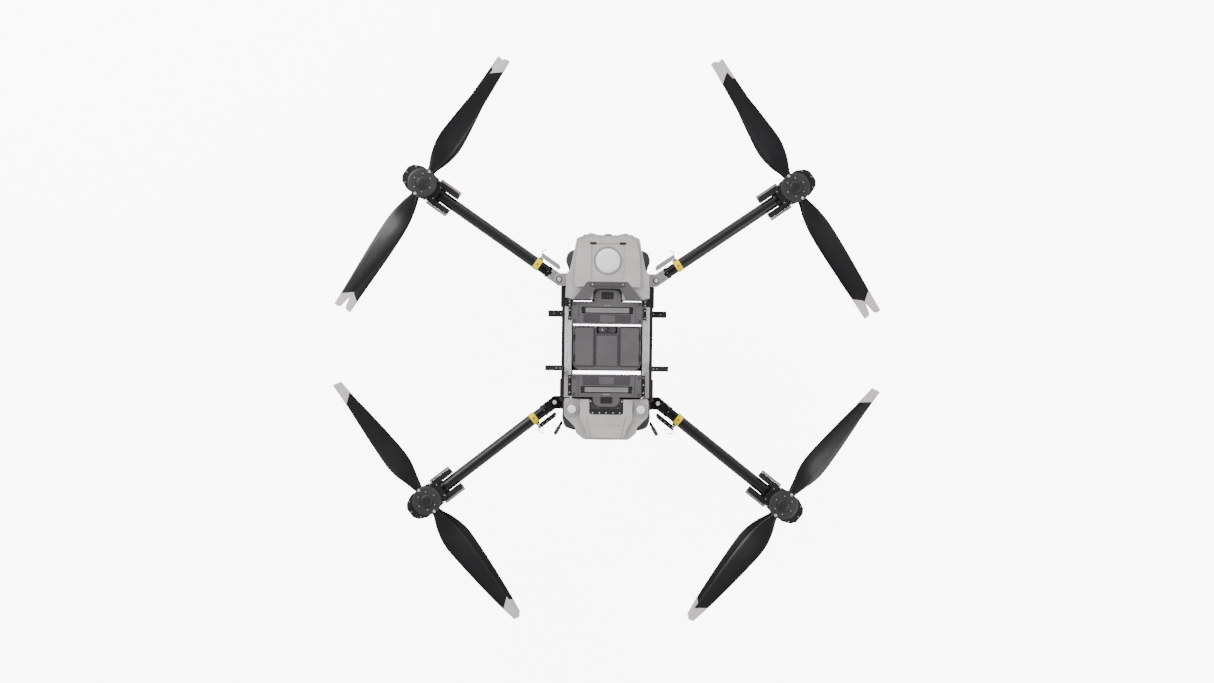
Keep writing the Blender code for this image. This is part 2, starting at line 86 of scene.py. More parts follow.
class Finish:
    """A short way to build one Principled material from nodes."""

    def __init__(self, name, roughness=0.5, metallic=0.0, coat=0.0):
        self.material = bpy.data.materials.new(name)
        self.material.use_nodes = True
        self.tree = self.material.node_tree
        self.shader = self.tree.nodes["Principled BSDF"]
        self.set(Roughness=roughness, Metallic=metallic, Coat_Weight=coat, Coat_Roughness=0.12)
        self.place = self.tree.nodes.new("ShaderNodeTexCoord").outputs["Object"]

    def set(self, **values):
        """Plain values of the shader's own inputs."""
        for key, value in values.items():
            self.shader.inputs[key.replace("_", " ")].default_value = value

    def use_blade_place(self):
        """Measures along and across the blade, from the places that its mesh keeps."""
        self.place = self.node("ShaderNodeAttribute", attribute_name=BLADE_PLACE).outputs["Vector"]

    def node(self, kind, **settings):
        made = self.tree.nodes.new(kind)
        for key, value in settings.items():
            if hasattr(made, key):
                setattr(made, key, value)
            else:
                made.inputs[key.replace("_", " ")].default_value = value
        return made

    def link(self, output, socket):
        self.tree.links.new(output, socket)

    def stretched(self, scale):
        """Object coordinates stretched along each axis."""
        mapping = self.node("ShaderNodeMapping")
        mapping.inputs["Scale"].default_value = scale
        self.link(self.place, mapping.inputs["Vector"])
        return mapping.outputs["Vector"]

    def noise(self, scale, detail=4.0, stretch=(1, 1, 1)):
        made = self.node("ShaderNodeTexNoise", Scale=scale, Detail=detail)
        self.link(self.stretched(stretch), made.inputs["Vector"])
        return made.outputs["Fac"]

    def ramp(self, value, low, high, start=0.35, end=0.65):
        """Colours that run from low to high as value passes from start to end."""
        made = self.node("ShaderNodeValToRGB")
        first, last = made.color_ramp.elements
        first.position, last.position = start, end
        first.color, last.color = (*low, 1), (*high, 1)
        self.link(value, made.inputs["Fac"])
        return made.outputs["Color"]

    def range(self, value, low, high):
        made = self.node("ShaderNodeMapRange")
        made.inputs["To Min"].default_value = low
        made.inputs["To Max"].default_value = high
        self.link(value, made.inputs["Value"])
        return made.outputs["Result"]

    def math(self, operation, first, second):
        made = self.node("ShaderNodeMath", operation=operation)
        for socket, value in zip(made.inputs, (first, second)):
            if isinstance(value, (int, float)):
                socket.default_value = value
            else:
                self.link(value, socket)
        return made.outputs["Value"]

    def mix(self, factor, low, high):
        made = self.node("ShaderNodeMix", data_type="RGBA")
        for key, value in (("Factor", factor), ("A", low), ("B", high)):
            if isinstance(value, tuple):
                made.inputs[key].default_value = (*value, 1)
            else:
                self.link(value, made.inputs[key])
        return made.outputs["Result"]

    def bump(self, height, strength, distance):
        made = self.node("ShaderNodeBump", Strength=strength, Distance=distance)
        self.link(height, made.inputs["Height"])
        self.link(made.outputs["Normal"], self.shader.inputs["Normal"])

    def edge_wear(self, colour, worn, amount):
        """A lighter, rubbed colour where the surface turns sharply, broken up by fine noise."""
        geometry = self.node("ShaderNodeNewGeometry")
        rubbed = self.range(geometry.outputs["Pointiness"], -amount, amount)
        spots = self.math("MULTIPLY", self.math("SUBTRACT", rubbed, 0.08 * amount), self.noise(160.0))
        clamp = self.node("ShaderNodeClamp")
        self.link(spots, clamp.inputs["Value"])
        return self.mix(clamp.outputs["Result"], colour, worn)

    def colour(self, value):
        self.link(value, self.shader.inputs["Base Color"])

    def roughness(self, value):
        self.link(value, self.shader.inputs["Roughness"])


def moulded(name, colour, grain=1400.0, depth=0.00012, roughness=(0.42, 0.58), spread=0.08):
    """Moulded plastic: fine spark-eroded grain, slight mottling and a little dust in the roughness."""
    finish = Finish(name)
    dark = tuple(c * (1 - spread) for c in colour)
    light = tuple(min(1, c * (1 + spread)) for c in colour)
    mottle = finish.ramp(finish.noise(9.0, 5), dark, light)
    finish.colour(finish.edge_wear(mottle, tuple(min(1, c * 1.35 + 0.02) for c in colour), 0.35))
    finish.roughness(finish.range(finish.noise(45.0, 6), *roughness))
    finish.bump(finish.noise(grain, 2), 0.35, depth)
    return finish.material


def carbon(name, weave=260.0, tip=False, coat=0.15, roughness=(0.38, 0.5)):
    """Clear-coated twill carbon; a blade's version has its pale painted tip with a slanted edge."""
    finish = Finish(name, coat=coat)
    finish.set(Specular_IOR_Level=0.32)
    if tip:
        finish.use_blade_place()
    split = finish.node("ShaderNodeSeparateXYZ")
    finish.link(finish.place, split.inputs["Vector"])
    along, across = split.outputs["X"], split.outputs["Y"]
    warp, weft = finish.math("MULTIPLY", along, weave), finish.math("MULTIPLY", across, weave)
    twill = finish.math("SINE", finish.math("MULTIPLY", finish.math("ADD", warp, weft), 6.2832), 0.0)
    cross = finish.math("SINE", finish.math("MULTIPLY", finish.math("SUBTRACT", warp, weft), 3.1416), 0.0)
    pattern = finish.range(finish.math("MULTIPLY", twill, cross), 0.0, 1.0)
    black = finish.ramp(pattern, (0.004, 0.004, 0.0045), (0.013, 0.013, 0.0145), 0.2, 0.8)
    dusty = finish.mix(finish.range(finish.noise(6.0, 6), 0.0, 0.06), black, (0.06, 0.058, 0.056))
    satin = finish.range(finish.noise(25.0, 5), *roughness)
    if tip:
        slant = finish.math("ADD", along, finish.math("MULTIPLY", across, 0.8))
        painted = finish.math("GREATER_THAN", slant, TIP_START)
        chipped = finish.ramp(finish.noise(70.0, 6), (0.5, 0.47, 0.48), (0.6, 0.57, 0.58))
        dusty = finish.mix(painted, dusty, chipped)
        satin = finish.math("ADD", satin, finish.math("MULTIPLY", painted, 0.2))
    finish.colour(dusty)
    finish.roughness(satin)
    finish.bump(pattern, 0.12, 0.0001)
    return finish.material


def metal(name, colour, roughness=(0.22, 0.38), brush=(1, 40, 40), scale=60.0, wear=1.25, metallic=1.0):
    """Satin or brushed metal with fine lines and brighter rubbed edges; an oxide layer lowers metallic."""
    finish = Finish(name, metallic=metallic)
    lines = finish.noise(scale, 6, brush)
    base = finish.ramp(lines, tuple(c * 0.88 for c in colour), colour)
    finish.colour(finish.edge_wear(base, tuple(min(1, c * wear + 0.03) for c in colour), 0.5))
    finish.roughness(finish.range(lines, *roughness))
    finish.bump(lines, 0.08, 0.0002)
    return finish.material


def painted(name, colour, roughness=(0.28, 0.45), specular=0.25):
    """Printed or painted band with tiny scuffs."""
    finish = Finish(name)
    finish.set(Specular_IOR_Level=specular)
    finish.colour(finish.ramp(finish.noise(35.0, 6), tuple(c * 0.9 for c in colour), colour))
    finish.roughness(finish.range(finish.noise(90.0, 5), *roughness))
    finish.bump(finish.noise(600.0, 2), 0.1, 0.0001)
    return finish.material


def lens_glass(name):
    """Dark coated lens whose colour turns a faint blue towards its rim, where the surface turns away from the
    view: a painted reflection.
    """
    finish = Finish(name, roughness=0.04, coat=1.0)
    facing = finish.node("ShaderNodeLayerWeight", Blend=0.35)
    # Painted reflection: the base colour grows blue as the surface turns edge-on to the view.
    painted_rim_reflection = finish.ramp(facing.outputs["Facing"], (0.004, 0.004, 0.006), (0.03, 0.04, 0.09), 0.2, 0.9)
    finish.colour(painted_rim_reflection)
    finish.roughness(finish.range(finish.noise(200.0, 3), 0.03, 0.08))
    return finish.material


def wound_rope(name):
    """Braided pale rope, for the winch."""
    finish = Finish(name, roughness=0.8)
    wave = finish.node("ShaderNodeTexWave", Scale=180.0, Distortion=1.5)
    finish.link(finish.stretched((1, 1, 1)), wave.inputs["Vector"])
    finish.colour(finish.ramp(wave.outputs["Fac"], (0.3, 0.28, 0.22), (0.62, 0.58, 0.47), 0.2, 0.8))
    finish.bump(wave.outputs["Fac"], 0.6, 0.0006)
    return finish.material


LOOK = {
    "shell": moulded("shell_grey", (0.42, 0.405, 0.39), grain=1100.0),
    "shell_light": moulded("shell_light", (0.46, 0.445, 0.435), grain=1100.0),
    "lid": moulded("lid_white", (0.9, 0.88, 0.94), grain=900.0, spread=0.03, roughness=(0.3, 0.45)),
    "ring": moulded("lid_ring_grey", (0.4, 0.39, 0.39), spread=0.05),
    "dome": moulded("dome_grey", (0.33, 0.32, 0.33), grain=1000.0, spread=0.04),
    "battery": moulded("battery_grey", (0.094, 0.088, 0.092), grain=900.0, depth=0.0002),
    "panel": moulded("panel_dark", (0.048, 0.045, 0.048), grain=1000.0, depth=0.0002),
    "strip": moulded("handle_strip", (0.21, 0.202, 0.208), grain=900.0),
    "black": moulded("black_plastic", (0.008, 0.008, 0.0084), grain=900.0, spread=0.25),
    "tray": moulded("tray_grey", (0.045, 0.043, 0.044), grain=700.0, depth=0.0002),
    "hub": moulded("hub_grey", (0.026, 0.0255, 0.027), grain=1300.0, spread=0.12, roughness=(0.35, 0.5)),
    "rubber": moulded("rubber_black", (0.01, 0.01, 0.01), grain=400.0, depth=0.0003, roughness=(0.7, 0.85)),
    "carbon": carbon("carbon_twill"),
    "blade": carbon("blade_carbon", weave=180.0, tip=True, coat=0.12, roughness=(0.3, 0.42)),
    "rail": metal("rail_anodised", (0.93, 0.92, 0.93), (0.3, 0.42), brush=(40, 1, 40), metallic=0.1),
    "bracket": metal("bracket_grey", (0.4, 0.38, 0.39), (0.35, 0.5), metallic=0.4),
    "fins": metal("fins_beige", (0.46, 0.43, 0.41), (0.32, 0.45), metallic=0.5),
    "anodised": metal("anodised_black", (0.022, 0.022, 0.023), (0.3, 0.45), wear=4.0),
    "steel": metal("bolt_steel", (0.72, 0.71, 0.7), (0.22, 0.34), metallic=0.6),
    "bright": metal("pin_bright", (0.9, 0.9, 0.91), (0.22, 0.34), metallic=0.4),
    "copper": metal("copper_winding", (0.62, 0.27, 0.12), (0.25, 0.4), scale=200.0),
    "yellow": painted("band_yellow", (0.93, 0.75, 0.0), (0.5, 0.6), specular=0.1),
    "red": painted("mark_red", (0.7, 0.012, 0.008), (0.4, 0.5), specular=0.15),
    "led": painted("led_white", (0.9, 0.9, 0.92), (0.1, 0.2)),
    "lens": lens_glass("lens_glass"),
    "rope": wound_rope("rope_braid"),
}


# ---- building pieces

def mesh_of(name, bm):
    """A mesh from bm, with its faces turned outward."""
    bmesh.ops.recalc_face_normals(bm, faces=bm.faces)
    mesh = bpy.data.meshes.new(name)
    bm.to_mesh(mesh)
    bm.free()
    return mesh


def stand(name, data, matrix=Matrix.Identity(4)):
    """An object of its own in the scene."""
    made = bpy.data.objects.new(name, data)
    bpy.context.scene.collection.objects.link(made)
    made.matrix_world = matrix
    return made


def add_mesh(name, mesh, look, body, place, bevel=0, segments=3, replaces=None, angle=30):
    """A piece that rides on a body, with its material and bevel; without a body it is left unattached."""
    mesh.materials.append(LOOK[look])
    piece = stand(name, mesh, place)
    if bevel:
        edge = piece.modifiers.new("edge", "BEVEL")
        edge.width = bevel * MM
        edge.segments = segments
        edge.limit_method = "ANGLE"
        edge.angle_limit = math.radians(angle)
        edge.harden_normals = False
    mesh.shade_smooth()
    mesh.set_sharp_from_angle(angle=math.radians(angle + 5))
    if body:
        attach(piece, body)
    if replaces:
        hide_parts(replaces)
    return piece


class Group:
    """Adds pieces that share the start of their names, their body and their place."""

    def __init__(self, start, body="airframe", place=LAYOUT):
        self.start, self.body, self.place = start, body, place

    def add(self, word, bm, look, bevel=0, segments=3, replaces=None):
        name = f"{self.start}_{word}" if word else self.start
        return add_mesh(name, mesh_of(name, bm), look, self.body, self.place, bevel, segments, replaces)

    def screws(self, word, spots, radius=3, look="steel", up=(0, 0, 1)):
        """One piece that holds a set of socket-head screws with sunk six-sided drives."""
        bm = bmesh.new()
        high = radius * 0.55
        profile = [(0, high * 0.2), (radius * 0.45, high * 0.2), (radius * 0.5, high), (radius * 0.85, high),
                   (radius, high * 0.7), (radius, -radius * 0.6), (0, -radius * 0.6)]
        for spot in spots:
            lathe(profile, 12, shift(*spot) @ towards(up), bm)
        return self.add(word, bm, look)

    def bent(self, word, points, radius, look, order=3):
        """A smooth bent wire or bar through the points."""
        name = f"{self.start}_{word}"
        curve = bpy.data.curves.new(name, "CURVE")
        curve.dimensions = "3D"
        curve.bevel_depth = radius * MM
        curve.bevel_resolution = 5
        curve.use_fill_caps = True
        spline = curve.splines.new("NURBS")
        spline.points.add(len(points) - 1)
        for point, spot in zip(spline.points, points):
            point.co = (*(Vector(spot) * MM), 1)
        spline.order_u = order
        spline.use_endpoint_u = True
        spline.resolution_u = 8
        curve.materials.append(LOOK[look])
        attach(stand(name, curve, self.place), self.body)


def carve(piece, *shapes):
    """Cuts closed shapes out of a piece, before its bevel, and removes the cutters."""
    for shape in shapes:
        cutter = stand("cutter", mesh_of("cutter", shape), piece.matrix_world)
        cut = piece.modifiers.new("cut", "BOOLEAN")
        cut.operation = "DIFFERENCE"
        cut.object = cutter
        with bpy.context.temp_override(object=piece, active_object=piece):
            bpy.ops.object.modifier_move_to_index(modifier=cut.name, index=0)
            bpy.ops.object.modifier_apply(modifier=cut.name)
        bpy.data.objects.remove(cutter, do_unlink=True)
    piece.data.shade_smooth()
    piece.data.set_sharp_from_angle(angle=math.radians(35))


def shift(x, y, z):
    """The matrix that moves by a number of millimetres."""
    return Matrix.Translation(Vector((x, y, z)) * MM)


def towards(direction):
    """The matrix that turns +Z to a direction."""
    return Vector((0, 0, 1)).rotation_difference(Vector(direction)).to_matrix().to_4x4()


def turned(share):
    """The matrix that makes a share of a whole turn about Z."""
    return Matrix.Rotation(2 * math.pi * share, 4, "Z")


def transformed(bm, matrix, start=0):
    """Moves the corners from number start on."""
    bm.verts.ensure_lookup_table()
    bmesh.ops.transform(bm, matrix=matrix, verts=bm.verts[start:])
    return bm


def block(low, high, bm=None):
    """A box between two corners, added to bm."""
    bm = bm or bmesh.new()
    centre = [(a + b) / 2 * MM for a, b in zip(low, high)]
    size = [abs(b - a) * MM for a, b in zip(low, high)]
    bmesh.ops.create_cube(bm, size=1.0, matrix=Matrix.Translation(centre) @ Matrix.Diagonal((*size, 1.0)))
    return bm


def twins(low, high, bm=None):
    """A box at +X and its mirror image."""
    return [block((side * low[0], *low[1:]), (side * high[0], *high[1:]), bm) for side in (1, -1)]


def prism(points, z_low, z_high, bm=None, taper=0):
    """An outline raised from z_low to z_high; taper draws its top in towards its middle."""
    bm = bm or bmesh.new()
    middle = Vector((sum(p[0] for p in points) / len(points), sum(p[1] for p in points) / len(points)))
    rings = []
    for z, pull in ((z_low, 0), (z_high, taper)):
        ring = []
        for x, y in points:
            inward = (middle - Vector((x, y))).normalized() * pull
            ring.append(bm.verts.new(((x + inward.x) * MM, (y + inward.y) * MM, z * MM)))
        rings.append(ring)
    skin(bm, rings)
    bm.faces.new(rings[0])
    bm.faces.new(rings[1])
    return bm


def skin(bm, rings):
    """Joins each ring of corners to the next one; a ring may be a single corner."""
    sides = max(len(ring) for ring in rings)
    for lower, upper in zip(rings, rings[1:]):
        for i in range(sides):
            j = (i + 1) % sides
            steps = ((lower, i), (lower, j), (upper, j), (upper, i))
            corners = list(dict.fromkeys(ring[k % len(ring)] for ring, k in steps))
            if len(corners) > 2:
                bm.faces.new(corners)


def lathe(profile, sides=48, matrix=Matrix.Identity(4), bm=None):
    """A solid of revolution about Z from (radius, z) points."""
    bm = bm or bmesh.new()
    rings = []
    for radius, z in profile:
        spots = circle(radius, z, sides) if radius else [(0, 0, z)]
        rings.append([bm.verts.new(matrix @ (Vector(spot) * MM)) for spot in spots])
    skin(bm, rings)
    return bm


def rod(start, end, radius, sides=40, bm=None, lip=0):
    """A round bar between two points, with rounded rims when lip is set."""
    along = Vector(end) - Vector(start)
    length = along.length
    rim = [(radius, 0), (radius, length)]
    if lip:
        rim = [(radius - lip, 0), (radius, lip), (radius, length - lip), (radius - lip, length)]
    return lathe([(0, 0), *rim, (0, length)], sides, shift(*start) @ towards(along), bm)


def circle(radius, z, count, start=0):
    """Spots spread round the Z axis, from an angle in degrees."""
    turns = [2 * math.pi * i / count + math.radians(start) for i in range(count)]
    return [(radius * math.cos(t), radius * math.sin(t), z) for t in turns]


def pairs(spots, z):
    """Spots at +X and their mirror images, at one height."""
    return [(side * x, y, z) for side in (1, -1) for x, y in spots]


def both(points):
    """A whole outline from the points of its +X half."""
    return list(points) + [(-x, y) for x, y in reversed(points)]


def rounded(points, radius, steps=4):
    """The outline with each corner turned into a short curve."""
    made = []
    for i, corner in enumerate(points):
        here = Vector(corner)
        before, after = Vector(points[i - 1]) - here, Vector(points[(i + 1) % len(points)]) - here
        reach = min(radius, before.length * 0.45, after.length * 0.45)
        start, end = here + before.normalized() * reach, here + after.normalized() * reach
        for step in range(steps + 1):
            t = step / steps
            made.append(tuple(start * (1 - t) ** 2 + here * 2 * t * (1 - t) + end * t ** 2))
    return made


def rectangle(x_low, y_low, x_high, y_high, radius):
    """A rectangle's outline with rounded corners."""
    return rounded([(x_low, y_low), (x_high, y_low), (x_high, y_high), (x_low, y_high)], radius)


# ---- where the arms and rotors are

def joint_spot(name):
    return Vector(JOINTS[name]["pos_m"])


def facing(spot, target):
    """The matrix with its origin on a spot and +X towards a target, in the level plane."""
    along = target - spot
    return Matrix.Translation(spot) @ Matrix.Rotation(math.atan2(along.y, along.x), 4, "Z")


def arm_place(key):
    """The arm's matrix, with its origin on the hinge pin and +X along the tube, and the arm's length."""
    pin, hub = joint_spot(f"arm_{key}_fold"), joint_spot(f"upper_rotor_{key}_spin")
    return facing(pin, hub), (hub - pin).xy.length / MM


def rotor_place(key, word):
    """The rotor's matrix: origin in its blade plane, +X to its first blade and +Z away from the arm."""
    place = facing(joint_spot(f"{word}_rotor_{key}_spin"), joint_spot(f"{word}_blade_a_{key}_fold"))
    return place @ Matrix.Rotation(0 if word == "upper" else math.pi, 4, "X")


# ---- rotors

# Share of the prop radius, chord, lead of the chord's middle, thickness, pitch in degrees
BLADE_STATIONS = ((0.069, 12, 0, 9, 0), (0.079, 22.5, 0, 9.5, 0), (0.093, 27, 0, 9.5, 0),
                  (0.125, 40, 0, 9.5, 0), (0.21, 78, 4, 8.5, 4), (0.33, 105, 6, 10, 15),
                  (0.5, 95, 2, 8, 12), (0.7, 73, -3, 6, 9), (0.86, 52, -8, 4.5, 7), (1, 31, -15, 3, 6))
STEPS_BETWEEN = 6


def smooth_stations():
    """Stations in between, on a Catmull-Rom curve through the ones above."""
    made = []
    last = len(BLADE_STATIONS) - 1
    for i in range(last):
        around = [BLADE_STATIONS[max(0, min(last, i + k))] for k in (-1, 0, 1, 2)]
        for step in range(STEPS_BETWEEN):
            t = step / STEPS_BETWEEN
            made.append(tuple(0.5 * (2 * b + (c - a) * t + (2 * a - 5 * b + 4 * c - d) * t * t
                                     + (3 * b - a - 3 * c + d) * t ** 3) for a, b, c, d in zip(*around)))
    made.append(BLADE_STATIONS[-1])
    return made


def section(chord, thickness, points=18):
    """A cambered blade section with a spanwise ridge near its leading edge; (across, height) points."""
    made = []
    for i in range(points):
        turn = 2 * math.pi * i / points
        across, high = math.cos(turn), math.sin(turn)
        ridge = 0.42 + 0.16 * math.exp(-((across - 0.3) / 0.22) ** 2)
        height = high * (ridge if high > 0 else 0.26)
        made.append((across * chord / 2, height * thickness * 0.86))
    return made


def blade_mesh(spin):
    """A smooth folding blade, rounded at its tip."""
    bm = bmesh.new()
    rings = []
    for share, chord, lead, thickness, pitch in smooth_stations():
        tilt = Matrix.Rotation(math.radians(pitch) * spin, 3, "X")
        ring = []
        for across, high in section(chord, thickness):
            offset = tilt @ Vector((0, spin * (across + lead), high))
            slant = -across / 3 if share > 0.995 else 0
            spot = Vector((share * PROP_RADIUS - BLADE_PIVOT + min(0, slant), 0, 0)) + offset
            ring.append(bm.verts.new(spot * MM))
        rings.append(ring)
    skin(bm, rings)
    bm.faces.new(rings[0])
    bm.faces.new(rings[-1])
    mesh = mesh_of("blade", bm)
    kept = mesh.attributes.new(BLADE_PLACE, "FLOAT_VECTOR", "POINT")
    for vertex, entry in zip(mesh.vertices, kept.data):
        entry.vector = vertex.co
    return mesh


def hub_pieces(key, word):
    """Motor bell with its cooling slots, two clamp plates, centre cap, fold bolts and their washers."""
    name = f"{word}_hub_{key}"
    hub = Group(name, name, rotor_place(key, word))
    plates = [(0, 13.5), (30, 13.5), (30.5, 10), (58, 9.5), (64, 8.8), (66.8, 7.5), (66.8, 6.2), (18, 6),
              (18, -6), (66.8, -6.2), (66.8, -8), (64, -9.2), (32, -9.5), (31, -16.8), (0, -16.8)]
    hub.add("plates", lathe(plates, 64), "hub", replaces=name)
    bell = [(0, -17.2), (50, -17.2), (54.5, -19), (56.8, -22.5), (56.8, -30), (55.6, -31.2), (55.6, -60),
            (56.8, -61.2), (56.8, -69.5), (49.5, -69.5), (49.5, -27.5), (0, -27.5)]
    slots = [transformed(block((36, -4.5, -23.5), (47.5, 4.5, -12)), turned(i / 10)) for i in range(10)]
    carve(hub.add("bell", lathe(bell, 64), "anodised"), *slots)
    cap = [(0, 19.8), (12, 19.7), (21, 19), (26.2, 17.2), (28.5, 14.5), (28.8, 13.6), (0, 13.6)]
    hub.add("cap", lathe(cap, 56), "black")
    hub.screws("screws", circle(42, 10, 6, 30), 2.6)
    bolts, washers = bmesh.new(), bmesh.new()
    head = [(0, 11.8), (2.8, 11.8), (3.4, 13.6), (5.8, 13.6), (6.8, 12.8), (6.8, 9.8), (0, 9.8)]
    for x in (BLADE_PIVOT, -BLADE_PIVOT):
        spot = shift(x, 0, 0)
        lathe(head, 20, spot, bolts)
        lathe([(0, 10.4), (9.2, 10.4), (9.8, 10), (9.8, 9.2), (0, 9.2)], 32, spot, washers)
        rod((x, 0, -8.5), (x, 0, 9.2), 4.5, 20, bolts)
        lathe([(0, -9.5), (7.5, -9.5), (7.5, -12.5), (0, -12.5)], 6, spot, bolts)
    hub.add("bolts", bolts, "steel")
    hub.add("washers", washers, "anodised")


def rotors():
    """All hubs and blades; a blade's mesh is laid in place, so that its outline is measured as it lies."""
    meshes = {spin: blade_mesh(spin) for spin in (1, -1)}
    bush = [(6.2, 5), (8.5, 5), (8.5, -3.6), (6.2, -3.6), (6.2, 5)]
    for key in ARM_KEYS:
        for word in ("upper", "lower"):
            hub_pieces(key, word)
            for letter, share in (("a", 0), ("b", 0.5)):
                name = f"{word}_blade_{letter}_{key}"
                place = rotor_place(key, word) @ turned(share) @ shift(BLADE_PIVOT, 0, 0)
                mesh = meshes[CURLS[key]].copy()
                mesh.transform(place)
                add_mesh(f"{name}_skin", mesh, "blade", name, Matrix.Identity(4), replaces=name, angle=50)
                Group(name, name, place).add("bushing", lathe(bush, 24), "steel")


# ---- motor pods

def pod_pieces(key):
    """Six-sided pod on the tube's end, with its speed controllers, heat-sink fins and motor stators."""
    place, length = arm_place(key)
    pod = Group(f"pod_{key}", f"arm_{key}", place @ shift(length, 0, 0))
    outline = [(-88, 36), (-45, 60), (45, 65), (85, 46), (100, 24)]
    outline += [(x, -y) for x, y in reversed(outline)]
    housing = prism(rounded(outline, 5), -39.5, 39.5)
    housing = pod.add("housing", housing, "black", 4, replaces=f"motor_mount_{key}")
    vents = [block((62 + 9 * i, -22, 37.5), (66 + 9 * i, 22, 50)) for i in range(3)]
    bore = TUBE_RADIUS + 0.4
    carve(housing, rod((-120, 0, 0), (-46, 0, 0), bore, 48), *vents)
    base = lathe([(0, 43.2), (50, 43.2), (53.5, 41.5), (54.5, 39), (0, 39)], 56)
    lathe([(0, -39), (54.5, -39), (53.5, -41.5), (50, -43.2), (0, -43.2)], 56, bm=base)
    pod.add("motor_bases", base, "anodised")
    sleeve = [(bore, 0), (33.5, 0), (34.5, 2), (34.5, 20), (33.5, 22), (bore, 22), (bore, 0)]
    pod.add("sleeve", lathe(sleeve, 48, shift(-109, 0, 0) @ ALONG_X), "anodised")
    for side, word in ((1, "a"), (-1, "b")):
        controller = block((-173, side * 28.8, -25.5), (-60, side * 56, 25.5))
        grooves = [block((-160 + 22 * i, side * 33, 24.5), (-150 + 22 * i, side * 50, 30)) for i in range(4)]
        carve(pod.add(f"controller_{word}", controller, "black", 3), *grooves)
        sink = block((-172, side * 56.2, -24), (-61, side * 60, 24))
        for i in range(9):
            z = -22.5 + 5 * i
            block((-172, side * 60, z), (-61, side * 67.8, z + 1.6), sink)
        pod.add(f"heat_sink_{word}", sink, "fins", 0.5, 1)
        spots = [(x, side * y, 25.5) for x in (-168, -66) for y in (32, 52.5)]
        pod.screws(f"controller_screws_{word}", spots, 2)
    winding, core = bmesh.new(), bmesh.new()
    for up in (1, -1):
        for i in range(18):
            place = turned(i / 18) @ shift(36, 0, up * 62) @ Matrix.Diagonal((13 * MM, 8.5 * MM, 34 * MM, 1))
            coil = bmesh.ops.create_cube(winding, size=1, matrix=place)
            edges = list(dict.fromkeys(edge for corner in coil["verts"] for edge in corner.link_edges))
            bmesh.ops.bevel(winding, geom=edges, offset=2.5 * MM, segments=2, affect="EDGES")
        rod((0, 0, up * 43.5), (0, 0, up * 83.5), 30, 36, core)
    pod.add("windings", winding, "copper")
    pod.add("stator_cores", core, "steel")
    spots = [(-78, 30), (-78, -30), (70, 44), (70, -44), (90, 0), (-52, 50), (-52, -50)]
    pod.screws("screws", [(x, y, 39.5) for x, y in spots])
    light = lathe([(0, 0), (9.5, 0), (9.5, -1.5), (8, -3), (0, -3.4)], 24, shift(80, 0, -39.2))
    pod.add("navigation_light", light, "led")


# ---- arms

def arm_pieces(key):
    """Carbon tube, thinner root, clamp collar in yellow with its red mark, and the hinge block."""
    place, length = arm_place(key)
    arm = Group(f"arm_{key}", f"arm_{key}", place)
    out = CURLS[key]
    tube = rod((130, 0, 0), (length - 48.7, 0, 0), TUBE_RADIUS - 0.2, 56, lip=1.5)
    arm.add("tube", tube, "carbon", replaces=arm.body)
    arm.add("root", rod((46, 0, 0), (131, 0, 0), ROOT_RADIUS - 0.3, 48), "anodised")
    under = TUBE_RADIUS - 1
    ring = [(under, 0), (27.9, 0), (28.4, 0.8), (28.4, 27), (27.9, 27.8), (under, 27.8), (under, 0)]
    arm.add("band", lathe(ring, 56, shift(108.7, 0, 0) @ ALONG_X), "yellow")
    middle, size, rise = 122.6, 6.2, 28.52
    diamond = [(middle + size, 0), (middle, size), (middle - size, 0), (middle, -size)]
    arm.add("mark", prism(diamond, rise - 1.5, rise - 0.05), "red")
    outline = [(52, 26.2), (52, -26.2), (0, -26.2)]
    turns = [math.radians(a) for a in range(265, 90, -15)]
    outline += [(27.2 * math.cos(t), 27.2 * math.sin(t)) for t in turns]
    outline += [(0, 26.2)]
    # On the rear arms the knuckle is black: painted shade.
    knuckle = arm.add("knuckle", prism(outline, -22.2, 22.2), HINGE_LOOK_REAR_PAINTED_SHADE[key[0]], 1.8)
    grooves = [block((28 + 10 * i, -18, 19.5), (32 + 10 * i, 18, 30)) for i in range(2)]
    carve(knuckle, rod((0, 0, -30), (0, 0, 30), 10.6, 48), *grooves)
    under = ROOT_RADIUS - 1
    collar = [(under, 0), (26.2, 0), (26.8, 1), (26.8, 14), (26.2, 15), (under, 15), (under, 0)]
    arm.add("root_collar", lathe(collar, 48, shift(54, 0, 0) @ ALONG_X), "anodised")
    arm.add("latch_lug", block((113, -out * 36.2, -5.2), (133, -out * 27.5, 5.2)), "anodised", 1.2)
    pivot = rod((LATCH_PIVOT, -out * LATCH_SIDE, -13.5), (LATCH_PIVOT, -out * LATCH_SIDE, 13.5), 3, 20)
    for z in (-12.8, 11.8):
        block((LATCH_PIVOT - 4, -out * 30, z), (LATCH_PIVOT + 4, -out * 47.5, z + 1), pivot)
    arm.add("latch_pivot", pivot, "steel")
    arm.screws("screws", [(x, y, 22.2) for x in (20, 47) for y in (21.5, -21.5)], 2.6)
    arm.screws("collar_screws", [(62, 0, 26.2), (62, 0, -26.2)], 2.2)
    arm.add("cable_channel", block((150, -3.5, -28.5), (length - 115, 3.5, -26.2)), "rubber", 1)


